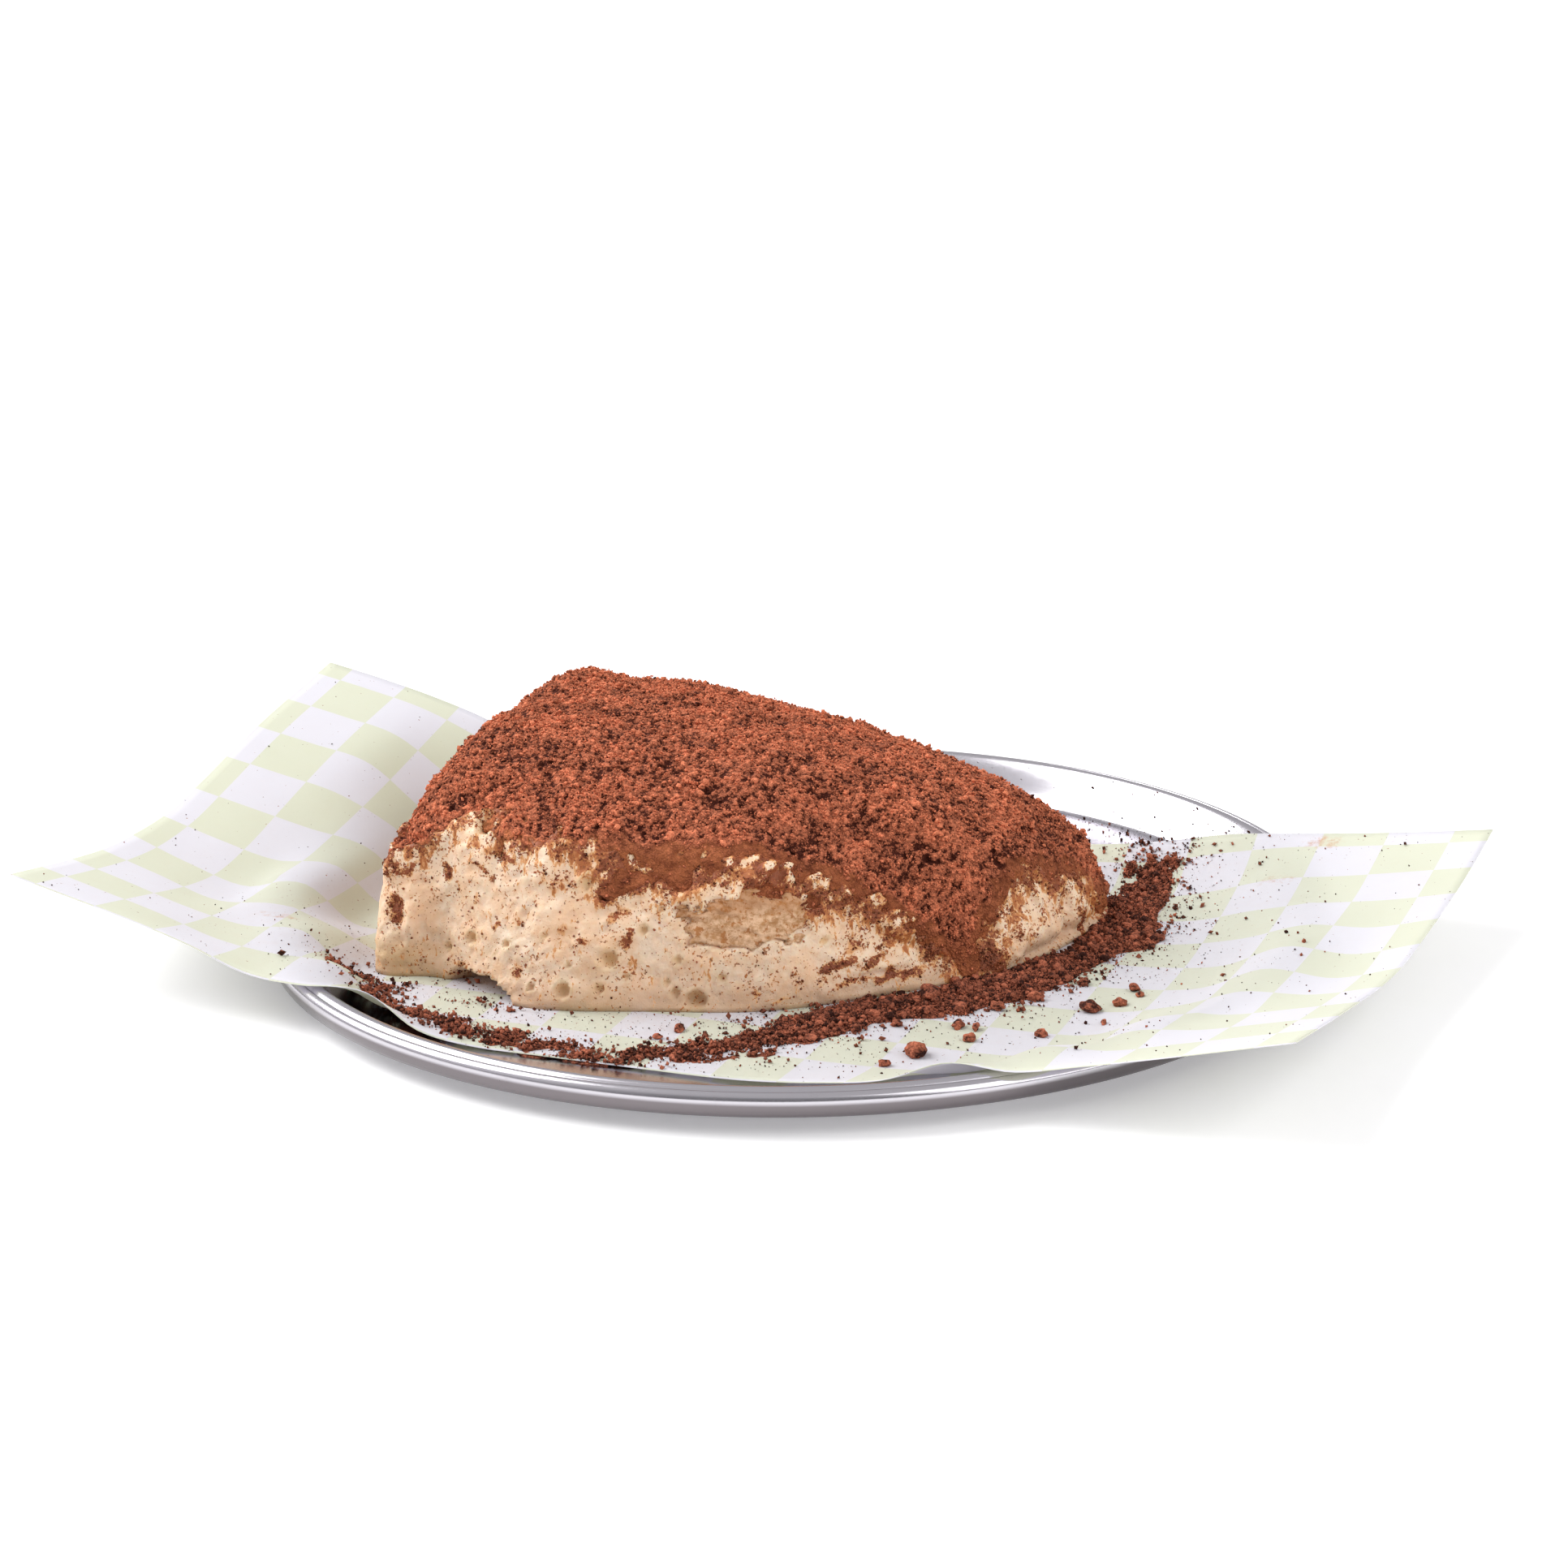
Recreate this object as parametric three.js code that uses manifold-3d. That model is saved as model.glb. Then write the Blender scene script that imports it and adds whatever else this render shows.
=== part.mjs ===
// A slice of tiramisu on a sheet of checked paper, served in a round steel plate.
// Millimetres, +Z up. The origin is the centre of the plate's flat underside.
import * as THREE from 'three';
import { mergeVertices } from 'three/addons/utils/BufferGeometryUtils.js';
import Module from 'manifold-3d';

const wasm = await Module();
wasm.setup();

// ---------- Driving dimensions ----------

const GAP = 0.3;              // clearance between pieces that touch

const PLATE = {
  rim: 102,                   // radius outside the turned-down lip
  crest: 99,                  // radius of the rim's highest ring
  floor: 91.5,                // radius of the flat floor
  height: 8.4,                // crest above the table
  lip: 3.6,                   // lower edge of the lip above the table
  steel: 0.8,
};

const SHEET = {
  length: 254,                // 20 checks of 12.7 mm
  width: 133,                 // 10.5 checks
  thickness: 0.4,
  turn: -20.95,               // degrees from +X to the sheet's long side
  centre: [-8.8, -8.5],
};
const SHEET_LEVEL = PLATE.steel + GAP + SHEET.thickness / 2;  // its middle where it lies flat

// The sheet lies flat on the plate's floor and leaves it along these soft creases:
// each lifts it at a steady slope beyond a line `start` mm from its centre.
const CREASES = [
  { towards: 194.2, start: 65.5, slope: 0.224, soft: 1.5 },    // left end
  { towards: 114.1, start: 30.2, slope: 0.290, soft: 11.9 },   // left end, back corner
  { towards: -130.3, start: 79.9, slope: 0.275, soft: 3.6 },   // left end, front corner
  { towards: -25.1, start: 57.1, slope: 0.082, soft: 4.4 },    // right end
  { towards: -39.5, start: 77.8, slope: 0.189, soft: 19.7 },   // right end, front corner
  { towards: 70.0, start: 37.7, slope: 0.176, soft: 4.9 },     // right end, back corner
  { towards: 88.9, start: 74.0, slope: 0.597, soft: 1.7 },     // back edge
  { towards: 197.7, start: 85.7, slope: -0.159, soft: 20.8 },  // left end, levelling off again
];

// Handling has shifted the sheet a little from that shape: [x, y, z] at eight places along
// it, from the left end, by five across it, from the front edge.
const SHIFTS = [
  [[2.3, -2.3, 0.6], [0.3, -1.7, 0.7], [-0.9, -1.2, 0.5], [-1.3, -1.3, 1.1], [-2.3, -0.7, -0.6]],
  [[2.0, -0.8, 0.6], [0.7, -0.5, -0.6], [-0.6, 0.0, -0.9], [-0.4, -0.4, 1.0], [-1.3, 0.1, -0.2]],
  [[0.3, -0.5, -1.3], [1.9, -0.9, -4.5], [-0.8, 0.1, -0.7], [-1.2, -0.7, 1.4], [-0.5, 1.8, -2.9]],
  [[0.1, 0.0, -0.1], [-0.1, 0.0, 0.5], [0.0, 0.0, 0.0], [0.1, 0.1, -0.1], [0.1, 0.1, -0.7]],
  [[-0.1, 0.0, -0.2], [0.0, 0.3, 0.0], [0.0, -0.1, -0.1], [-0.4, 0.2, -0.3], [0.0, 0.2, -0.3]],
  [[-0.9, 0.1, 0.4], [-1.0, -0.1, 0.2], [0.1, 0.7, 3.2], [1.8, -1.1, 2.3], [1.2, 0.0, -2.1]],
  [[-2.7, -0.5, 0.2], [-1.3, -0.4, -0.1], [0.0, -0.3, -0.4], [1.5, -0.7, -0.3], [2.3, -1.5, 0.3]],
  [[-3.9, -1.1, 1.1], [-3.0, -1.4, 0.5], [-1.1, -1.8, 1.0], [0.8, -2.5, 1.2], [2.6, -3.2, 0.9]],
];

// The slice's weight keeps the sheet flat inside this rounded oblong, in the slice's axes.
const PRESSED = { centre: [-8.5, -6], half: [72.5, 55], free: 1.35 };

const SLICE = {
  turn: -22,                  // degrees from +X to the slice's long side
  base: 1.8,                  // its foot above the table: floor, paper and clearances
  crown: [-8, -4],            // where the top's profiles meet
  cocoa: 1.2,                 // thickness of the cocoa layer
};

// The top is level at the slice's left end and sinks away from it as parabolas: to the
// right of `levelTo`, and to the front and back of its ridge.
const TOP = { height: 42.8, levelTo: -45, ridge: 4, sinks: { right: 0.0022, front: 0.0036, back: 0.0050 } };

// Stations round the slice, from the front left corner towards the right.
// foot and shoulder are [along, across] and [along, across, up] in the slice's own axes;
// bulge is how far the wall swells, reach how far in the shoulder's rounding runs, edge how
// far up the wall the cocoa comes down to (0 foot, 1 shoulder), and ledge how far in the
// rounding starts, which leaves a step on the slice's left side.
const STATIONS = [
  { foot: [-67, -44.5], shoulder: [-66, -43, 22], bulge: 0.5, reach: 12, edge: 0.96, ledge: 4 },
  { foot: [-52, -47], shoulder: [-50, -46, 28], bulge: 1.0, reach: 30, edge: 0.98 },
  { foot: [-32, -57], shoulder: [-30, -48, 28], bulge: 0.5, reach: 30, edge: 0.98 },
  { foot: [-8, -51], shoulder: [-10, -44, 26], bulge: 1.5, reach: 28, edge: 0.95 },
  { foot: [14, -42], shoulder: [12, -35, 21], bulge: 1.5, reach: 26, edge: 0.85 },
  { foot: [40, -17], shoulder: [37, -17, 4], bulge: 0.0, reach: 30, edge: 0.35 },
  { foot: [50, 2], shoulder: [46, 1, 15], bulge: 1.0, reach: 18, edge: 0.85 },
  { foot: [53, 31], shoulder: [50, 28, 12], bulge: 1.0, reach: 18, edge: 0.3 },
  { foot: [26, 38], shoulder: [25, 33, 26], bulge: 1.0, reach: 12, edge: 0.6 },
  { foot: [-20, 38], shoulder: [-20, 33, 33], bulge: 1.0, reach: 12, edge: 0.7 },
  { foot: [-60, 37], shoulder: [-58, 33, 33], bulge: 1.0, reach: 12, edge: 0.7 },
  { foot: [-70, -5], shoulder: [-67.5, -5, 28], bulge: 0.5, reach: 17, edge: 0.75, ledge: 0.5 },
];

// Sponge fingers lie across the slice and run through it from front to back.
const FINGERS = {
  ladyfinger_upper: { along: 6, up: 15.5, wide: 24, thick: 11 },
  ladyfinger_lower_left: { along: -43, up: 5.2, wide: 25, thick: 10 },
  ladyfinger_lower_right: { along: 38, up: 3.6, wide: 26, thick: 6.8 },
};

// The bank of loose cocoa round the slice's right-hand foot, in the slice's axes.
const BANK = {
  route: [[16, -50], [28, -38], [39, -26], [48, -12], [55, 4], [58, 19], [60, 36], [62, 53]],
  width: [3, 10, 14, 13, 12, 12, 10, 3],
  height: [0.8, 1.7, 2.5, 2.4, 2.1, 2.0, 1.8, 0.8],
};

// Facets: round the slice, up its wall, over its cocoa, along and across the sheet, round the plate.
const DETAIL = { round: 48, wall: 5, cap: 9, sheet: [32, 16], plate: 48 };

// ---------- Helpers ----------

const radians = THREE.MathUtils.degToRad;

// A closed body from equal rings of points, shut at both ends by a centre point.
function ringBody(rings, startPoint, endPoint) {
  const count = rings[0].length;
  const vertices = rings.flat();
  const start = vertices.push(startPoint) - 1;
  const end = vertices.push(endPoint) - 1;
  const last = (rings.length - 1) * count;
  const faces = [];
  for (let i = 0; i < count; i++) {
    const j = (i + 1) % count;
    faces.push([start, j, i], [end, last + i, last + j]);
    for (let k = 0; k + 1 < rings.length; k++) {
      const low = k * count;
      const high = low + count;
      faces.push([low + i, low + j, high + j], [low + i, high + j, high + i]);
    }
  }
  return bodyFrom(vertices, faces);
}

function bodyFrom(vertices, faces) {
  const geometry = new THREE.BufferGeometry().setFromPoints(vertices);
  geometry.setIndex(faces.flat());
  return geometry;
}

function toManifold(geometry) {
  const plain = geometry.clone();
  plain.deleteAttribute('normal');
  plain.deleteAttribute('uv');
  const merged = mergeVertices(plain, 1e-4);
  const vertProperties = new Float32Array(merged.attributes.position.array);
  const triVerts = new Uint32Array(merged.index.array);
  return new wasm.Manifold(new wasm.Mesh({ numProp: 3, vertProperties, triVerts }));
}

function fromManifold(solid) {
  const { vertProperties, triVerts } = solid.getMesh();
  const geometry = new THREE.BufferGeometry();
  geometry.setAttribute('position', new THREE.Float32BufferAttribute(vertProperties, 3));
  geometry.setIndex(new THREE.Uint32BufferAttribute(triVerts, 1));
  return geometry;
}

// Catmull-Rom weights of the four points round a fraction f of a step.
function splineWeights(f) {
  return [
    0.5 * (-f + 2 * f * f - f * f * f),
    0.5 * (2 - 5 * f * f + 3 * f * f * f),
    0.5 * (f + 4 * f * f - 3 * f * f * f),
    0.5 * (-f * f + f * f * f),
  ];
}

// ---------- Steel plate ----------

// Height of the plate's upper surface at a radius inside the crest.
function plateTop(radius) {
  const rise = THREE.MathUtils.smoothstep(radius, PLATE.floor, PLATE.crest);
  return PLATE.steel + (PLATE.height - PLATE.steel) * rise;
}

function plateGeometry() {
  const wallSteps = 5;
  const rollSteps = 3;
  const rollHeight = 2.6;
  const upper = [new THREE.Vector2(0, PLATE.steel)];
  for (let k = 0; k <= wallSteps; k++) {
    const radius = THREE.MathUtils.lerp(PLATE.floor, PLATE.crest, k / wallSteps);
    upper.push(new THREE.Vector2(radius, plateTop(radius)));
  }
  for (let k = 1; k <= rollSteps; k++) {
    const angle = (k / rollSteps) * Math.PI / 2;
    const out = (PLATE.rim - PLATE.crest) * Math.sin(angle);
    const down = rollHeight * (1 - Math.cos(angle));
    upper.push(new THREE.Vector2(PLATE.crest + out, PLATE.height - down));
  }
  upper.push(new THREE.Vector2(PLATE.rim, PLATE.lip));
  const lower = upper.map((point, index) => {
    const before = upper[Math.max(index - 1, 0)];
    const after = upper[Math.min(index + 1, upper.length - 1)];
    const run = after.clone().sub(before).normalize();
    return new THREE.Vector2(point.x + run.y * PLATE.steel, point.y - run.x * PLATE.steel);
  });
  lower[0].set(0, 0);
  lower[1].set(PLATE.floor, 0);
  for (const point of lower) point.y = Math.max(point.y, 0);
  return new THREE.LatheGeometry([...lower, ...upper.reverse()], DETAIL.plate).rotateX(Math.PI / 2);
}

// ---------- Paper sheet ----------

function sheetLift(s, t) {
  let lift = 0;
  for (const crease of CREASES) {
    const angle = radians(crease.towards);
    const beyond = s * Math.cos(angle) + t * Math.sin(angle) - crease.start;
    lift += crease.slope * 0.5 * (beyond + Math.hypot(beyond, crease.soft));
  }
  return lift;
}

// How far the slice lets a place on the table lift: 0 under it, 1 well away from it.
function freedomAt(x, y) {
  const cos = Math.cos(radians(SLICE.turn));
  const sin = Math.sin(radians(SLICE.turn));
  const along = (x * cos + y * sin - PRESSED.centre[0]) / PRESSED.half[0];
  const across = (y * cos - x * sin - PRESSED.centre[1]) / PRESSED.half[1];
  return THREE.MathUtils.smoothstep((along ** 4 + across ** 4) ** 0.25, 1, PRESSED.free);
}

// The sheet's middle surface as a coarse net whose threads keep their flat length.
function sheetNet() {
  const columns = 20;
  const rows = 10;
  const pitch = [SHEET.length / columns, SHEET.width / rows];
  const cos = Math.cos(radians(SHEET.turn));
  const sin = Math.sin(radians(SHEET.turn));
  const flatLift = sheetLift(0, 0);
  const net = [];
  for (let i = 0; i <= columns; i++) {
    for (let j = 0; j <= rows; j++) {
      const s = (i - columns / 2) * pitch[0];
      const t = (j - rows / 2) * pitch[1];
      const x = SHEET.centre[0] + s * cos - t * sin;
      const y = SHEET.centre[1] + s * sin + t * cos;
      net.push(new THREE.Vector3(x, y, SHEET_LEVEL + (sheetLift(s, t) - flatLift) * freedomAt(x, y)));
    }
  }
  const threads = [];
  for (const [di, dj] of [[1, 0], [0, 1], [1, 1], [1, -1]]) {
    for (let i = 0; i + di <= columns; i++) {
      for (let j = Math.max(0, -dj); j + Math.max(dj, 0) <= rows; j++) {
        const from = i * (rows + 1) + j;
        const to = (i + di) * (rows + 1) + j + dj;
        threads.push([from, to, Math.hypot(di * pitch[0], dj * pitch[1])]);
      }
    }
  }
  const rounds = 3;
  const passes = 80;
  const share = 0.25;         // of a thread's error that one pass takes up at each end
  for (let round = 0; round < rounds; round++) {
    for (let pass = 0; pass < passes; pass++) {
      for (const [from, to, length] of threads) {
        const a = net[from];
        const b = net[to];
        const pull = share * (a.distanceTo(b) - length) / Math.hypot(b.x - a.x, b.y - a.y);
        const dx = pull * (b.x - a.x);
        const dy = pull * (b.y - a.y);
        a.x += dx;
        a.y += dy;
        b.x -= dx;
        b.y -= dy;
      }
    }
    for (const point of net) point.z = overRim(point);
  }
  const shifts = {
    net: SHIFTS.flat().map((shift) => new THREE.Vector3(...shift)),
    columns: SHIFTS.length - 1,
    rows: SHIFTS[0].length - 1,
  };
  net.forEach((point, index) => {
    const i = Math.floor(index / (rows + 1)) * shifts.columns / columns;
    const j = (index % (rows + 1)) * shifts.rows / rows;
    point.addScaledVector(splineAt(shifts, i, j), freedomAt(point.x, point.y));
    point.z = Math.max(overRim(point), SHEET_LEVEL);
  });
  return { net, columns, rows };
}

// The height that keeps a point of the sheet just clear of the plate's rim.
function overRim(point) {
  const margin = 0.46 * Math.hypot(SHEET.length / DETAIL.sheet[0], SHEET.width / DETAIL.sheet[1]);
  const radius = Math.hypot(point.x, point.y);
  if (radius > PLATE.rim + margin) return point.z;
  const wall = THREE.MathUtils.smoothstep(radius + margin, PLATE.floor, PLATE.crest);
  const needed = plateTop(Math.min(radius + margin, PLATE.crest)) + GAP * (1 + wall) + SHEET.thickness / 2;
  return Math.max(point.z, needed);
}

// The sheet's middle surface at column i and row j of the net, or between them.
function sheetPoint(sheet, i, j) {
  const point = splineAt(sheet, i, j);
  return point.setZ(Math.max(overRim(point), SHEET_LEVEL));
}

// A net's value at column i and row j, or between them.
function splineAt(sheet, i, j) {
  const i0 = Math.min(Math.floor(i), sheet.columns - 1);
  const j0 = Math.min(Math.floor(j), sheet.rows - 1);
  const wi = splineWeights(i - i0);
  const wj = splineWeights(j - j0);
  const point = new THREE.Vector3();
  for (let a = -1; a <= 2; a++) {
    for (let b = -1; b <= 2; b++) {
      point.addScaledVector(netAt(sheet, i0 + a, j0 + b), wi[a + 1] * wj[b + 1]);
    }
  }
  return point;
}

// The sheet's upper surface above a place on the table.
function sheetTopAt(sheet, x, y) {
  const cos = Math.cos(radians(SHEET.turn));
  const sin = Math.sin(radians(SHEET.turn));
  const place = [sheet.columns / 2, sheet.rows / 2];
  let point = sheetPoint(sheet, ...place);
  const tries = 8;
  for (let k = 0; k < tries; k++) {
    const dx = x - point.x;
    const dy = y - point.y;
    place[0] += (dx * cos + dy * sin) * sheet.columns / SHEET.length;
    place[1] += (dy * cos - dx * sin) * sheet.rows / SHEET.width;
    place[0] = THREE.MathUtils.clamp(place[0], 0, sheet.columns);
    place[1] = THREE.MathUtils.clamp(place[1], 0, sheet.rows);
    point = sheetPoint(sheet, ...place);
  }
  return point.z + SHEET.thickness / 2;
}

// A node of the net; one beyond the edge continues the two inside it.
function netAt(sheet, i, j) {
  const { net, columns, rows } = sheet;
  if (i < 0) return mirrored(netAt(sheet, 0, j), netAt(sheet, 1, j));
  if (i > columns) return mirrored(netAt(sheet, columns, j), netAt(sheet, columns - 1, j));
  if (j < 0) return mirrored(netAt(sheet, i, 0), netAt(sheet, i, 1));
  if (j > rows) return mirrored(netAt(sheet, i, rows), netAt(sheet, i, rows - 1));
  return net[i * (rows + 1) + j];
}

function mirrored(edge, inside) {
  return edge.clone().multiplyScalar(2).sub(inside);
}

function sheetGeometry(sheet) {
  const [columns, rows] = DETAIL.sheet;
  const middle = [];
  for (let i = 0; i <= columns; i++) {
    middle.push([]);
    for (let j = 0; j <= rows; j++) {
      middle[i].push(sheetPoint(sheet, i * sheet.columns / columns, j * sheet.rows / rows));
    }
  }
  const vertices = [];
  for (const side of [1, -1]) {
    for (let i = 0; i <= columns; i++) {
      for (let j = 0; j <= rows; j++) {
        const along = middle[Math.min(i + 1, columns)][j].clone().sub(middle[Math.max(i - 1, 0)][j]);
        const across = middle[i][Math.min(j + 1, rows)].clone().sub(middle[i][Math.max(j - 1, 0)]);
        const normal = along.cross(across).normalize();
        vertices.push(middle[i][j].clone().addScaledVector(normal, side * SHEET.thickness / 2));
      }
    }
  }
  const stride = rows + 1;
  const under = (columns + 1) * stride;
  const faces = [];
  for (let i = 0; i < columns; i++) {
    for (let j = 0; j < rows; j++) {
      const a = i * stride + j;
      const b = a + stride;
      faces.push([a, b, b + 1], [a, b + 1, a + 1]);
      faces.push([under + a, under + b + 1, under + b], [under + a, under + a + 1, under + b + 1]);
    }
  }
  const border = [];
  for (let i = 0; i < columns; i++) border.push(i * stride);
  for (let j = 0; j < rows; j++) border.push(columns * stride + j);
  for (let i = columns; i > 0; i--) border.push(i * stride + rows);
  for (let j = rows; j > 0; j--) border.push(j);
  border.forEach((a, index) => {
    const b = border[(index + 1) % border.length];
    faces.push([a, under + a, under + b], [a, under + b, b]);
  });
  return bodyFrom(vertices, faces);
}

// ---------- Slice ----------

// The station's values at u, which runs once round the slice from 0 to 1.
function stationAt(u) {
  const count = STATIONS.length;
  const place = u * count;
  const first = Math.floor(place);
  const weights = splineWeights(place - first);
  const near = weights.map((weight, k) => STATIONS[(first + k - 1 + count) % count]);
  const mix = (read) => near.reduce((sum, station, k) => sum + weights[k] * read(station), 0);
  const mixPoint = (name) => new THREE.Vector3(...[0, 1, 2].map((axis) => mix((s) => s[name][axis] ?? 0)));
  return {
    foot: mixPoint('foot'),
    shoulder: mixPoint('shoulder'),
    bulge: mix((s) => s.bulge),
    reach: mix((s) => s.reach),
    edge: mix((s) => s.edge),
    ledge: Math.max(mix((s) => s.ledge ?? 0), 0),
  };
}

// Height of the slice's top above its foot.
function topHeight(along, across) {
  const right = Math.max(along - TOP.levelTo, 0);
  const front = Math.max(TOP.ridge - across, 0);
  const back = Math.max(across - TOP.ridge, 0);
  const { sinks } = TOP;
  return TOP.height - sinks.right * right ** 2 - sinks.front * front ** 2 - sinks.back * back ** 2;
}

// A point of the slice's outer surface: v is 0 at the foot, 1 at the shoulder, 2 at the crown.
function slicePoint(u, v) {
  const { foot, shoulder, bulge, reach, ledge } = stationAt(u);
  const crown = new THREE.Vector3(SLICE.crown[0], SLICE.crown[1], 0);
  if (v <= 1) {
    const outward = foot.clone().sub(crown).setZ(0).normalize();
    return foot.lerp(shoulder, v).addScaledVector(outward, bulge * Math.sin(Math.PI * v));
  }
  const crowding = 1.25;      // draws the rings together at the shoulder
  const inward = (v - 1) ** crowding;
  const level = shoulder.clone().setZ(0);
  const travelled = level.distanceTo(crown) * inward;
  const point = level.lerp(crown, inward);
  const rounded = THREE.MathUtils.clamp((travelled - ledge) / reach, 0, 1);
  const rounding = Math.sqrt(1 - (1 - rounded) ** 2);
  point.z = THREE.MathUtils.lerp(shoulder.z, topHeight(point.x, point.y), rounding);
  return point;
}

// A ring round the slice at height v(u), sunk below its surface and let down along it.
function sliceRing(heightAt, sunk, lowered = 0) {
  const step = 0.02;
  const highest = 2 - step / 2;
  const ring = [];
  for (let i = 0; i < DETAIL.round; i++) {
    const u = i / DETAIL.round;
    const v = heightAt(u);
    const around = slicePoint((u + step) % 1, v).sub(slicePoint((u - step + 1) % 1, v));
    const upward = slicePoint(u, Math.min(v + step, highest)).sub(slicePoint(u, Math.max(v - step, 0)));
    const outward = around.cross(upward).normalize();
    const point = slicePoint(u, v).addScaledVector(outward, -sunk);
    point.addScaledVector(upward.normalize(), -lowered);
    ring.push(point.setZ(Math.max(point.z, 0)));
  }
  return ring;
}

function crownPoint(sunk) {
  const [along, across] = SLICE.crown;
  return new THREE.Vector3(along, across, topHeight(along, across) - sunk);
}

// How far up the wall the cocoa's edge is at u.
const cocoaEdge = (u) => THREE.MathUtils.clamp(stationAt(u).edge, 0.3, 1);

// Height of the cocoa layer's k-th ring, from its edge up to the crown.
const capHeight = (u, k) => THREE.MathUtils.lerp(cocoaEdge(u), 2, k / DETAIL.cap);

function wholeSlice() {
  const rings = [];
  for (let k = 0; k < DETAIL.wall; k++) rings.push(sliceRing((u) => cocoaEdge(u) * k / DETAIL.wall, 0));
  for (let k = 0; k < DETAIL.cap; k++) rings.push(sliceRing((u) => capHeight(u, k), 0));
  const [along, across] = SLICE.crown;
  return ringBody(rings, new THREE.Vector3(along, across, 0), crownPoint(0));
}

// The layer over the slice between two depths, its edge let down along the wall.
function sliceLayer(outside, inside, lowered) {
  const outer = [];
  const inner = [];
  for (let k = 0; k < DETAIL.cap; k++) {
    const drop = k === 0 ? lowered : 0;
    outer.push(sliceRing((u) => capHeight(u, k), outside, drop));
    inner.unshift(sliceRing((u) => capHeight(u, k), inside, drop));
  }
  return ringBody([...inner, ...outer], crownPoint(inside), crownPoint(outside));
}

// The whole slice's outside, grown by the clearance.
function sliceEnvelope() {
  const rings = [];
  for (let k = 0; k < DETAIL.cap; k++) rings.push(sliceRing(() => 2 * k / DETAIL.cap, -GAP));
  rings.unshift(rings[0].map((point) => point.clone().setZ(-SLICE.base)));
  const [along, across] = SLICE.crown;
  return ringBody(rings, new THREE.Vector3(along, across, -SLICE.base), crownPoint(-GAP));
}

// A sponge finger: a long bar with rounded sides, lying across the slice.
function fingerBar({ along, up, wide, thick }, grow) {
  const halfWide = wide / 2 + grow;
  const halfThick = thick / 2 + grow;
  const squareness = 2.6;
  const outline = new THREE.Shape();
  const sides = 28;
  for (let i = 0; i < sides; i++) {
    const angle = (i / sides) * 2 * Math.PI;
    const x = Math.sign(Math.cos(angle)) * halfWide * Math.abs(Math.cos(angle)) ** (2 / squareness);
    const y = Math.sign(Math.sin(angle)) * halfThick * Math.abs(Math.sin(angle)) ** (2 / squareness);
    if (i === 0) outline.moveTo(x, y);
    else outline.lineTo(x, y);
  }
  outline.closePath();
  const reach = 160;
  const bar = new THREE.ExtrudeGeometry(outline, { depth: reach, bevelEnabled: false, steps: 1 });
  return bar.rotateX(Math.PI / 2).translate(along, reach / 2, up);
}

// ---------- Bank of loose cocoa ----------

// Its foot follows the paper; the slice's own foot is cut out of it.
function bankBody(sheet, sliceEnvelope) {
  const curve = (points) => new THREE.CatmullRomCurve3(points, false, 'catmullrom');
  const route = curve(BANK.route.map(([x, y]) => new THREE.Vector3(x, y, 0)));
  const sizes = curve(BANK.width.map((width, k) => new THREE.Vector3(width, BANK.height[k], 0)));
  const steps = 28;
  const sides = 10;
  const rings = [];
  for (let k = 0; k <= steps; k++) {
    const centre = route.getPoint(k / steps);
    const tangent = route.getTangent(k / steps);
    const across = new THREE.Vector3(tangent.y, -tangent.x, 0);
    const { x: width, y: height } = sizes.getPoint(k / steps);
    const ring = [];
    for (let i = 0; i < sides; i++) {
      const angle = (i / sides) * 2 * Math.PI;
      const point = centre.clone().addScaledVector(across, Math.cos(angle) * width / 2);
      const onTable = point.clone().applyMatrix4(slice.matrix);
      const paper = sheetTopAt(sheet, onTable.x, onTable.y) + 3 * GAP - SLICE.base;
      ring.push(point.setZ(paper + Math.max(Math.sin(angle), 0) * height));
    }
    rings.push(ring);
  }
  const ends = [rings[0], rings[steps]].map((ring) => {
    return ring.reduce((sum, p) => sum.add(p), new THREE.Vector3()).divideScalar(sides);
  });
  const bank = ringBody(rings.reverse(), ends[1], ends[0]);
  return fromManifold(toManifold(bank).subtract(toManifold(sliceEnvelope)));
}

// ---------- Assembly ----------

function material(color, roughness, metalness = 0) {
  return new THREE.MeshStandardMaterial({ color, roughness, metalness });
}

const STEEL = material(0xc9c8cc, 0.22, 1);
const PAPER = material(0xe9ebe0, 0.75);
const CREAM = material(0xf1deb8, 0.5);
const SPONGE = material(0xc9a982, 0.9);
const SOAKED_SPONGE = material(0x5b3422, 0.8);
const COCOA = material(0x8a4528, 0.95);

function piece(name, geometry, finish) {
  geometry.computeVertexNormals();
  const mesh = new THREE.Mesh(geometry, finish);
  mesh.name = name;
  return mesh;
}

const serving = new THREE.Group();
const sheet = sheetNet();
serving.add(piece('plate', plateGeometry(), STEEL));
serving.add(piece('paper', sheetGeometry(sheet), PAPER));

const slice = new THREE.Group();
slice.rotation.z = radians(SLICE.turn);
slice.position.z = SLICE.base;
slice.updateMatrix();

const clearOfCocoa = toManifold(sliceLayer(-1, SLICE.cocoa + GAP, 2 * GAP));
const uncutCream = toManifold(wholeSlice()).subtract(clearOfCocoa);
let cream = uncutCream;
for (const [name, finger] of Object.entries(FINGERS)) {
  const finish = name === 'ladyfinger_upper' ? SPONGE : SOAKED_SPONGE;
  const bar = uncutCream.intersect(toManifold(fingerBar(finger, 0)));
  cream = cream.subtract(toManifold(fingerBar(finger, GAP)));
  slice.add(piece(name, fromManifold(bar), finish));
}
slice.add(piece('cream', fromManifold(cream), CREAM));
slice.add(piece('cocoa_cap', sliceLayer(0, SLICE.cocoa, 0), COCOA));
slice.add(piece('cocoa_bank', bankBody(sheet, sliceEnvelope()), COCOA));
serving.add(slice);

export default serving;
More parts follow.
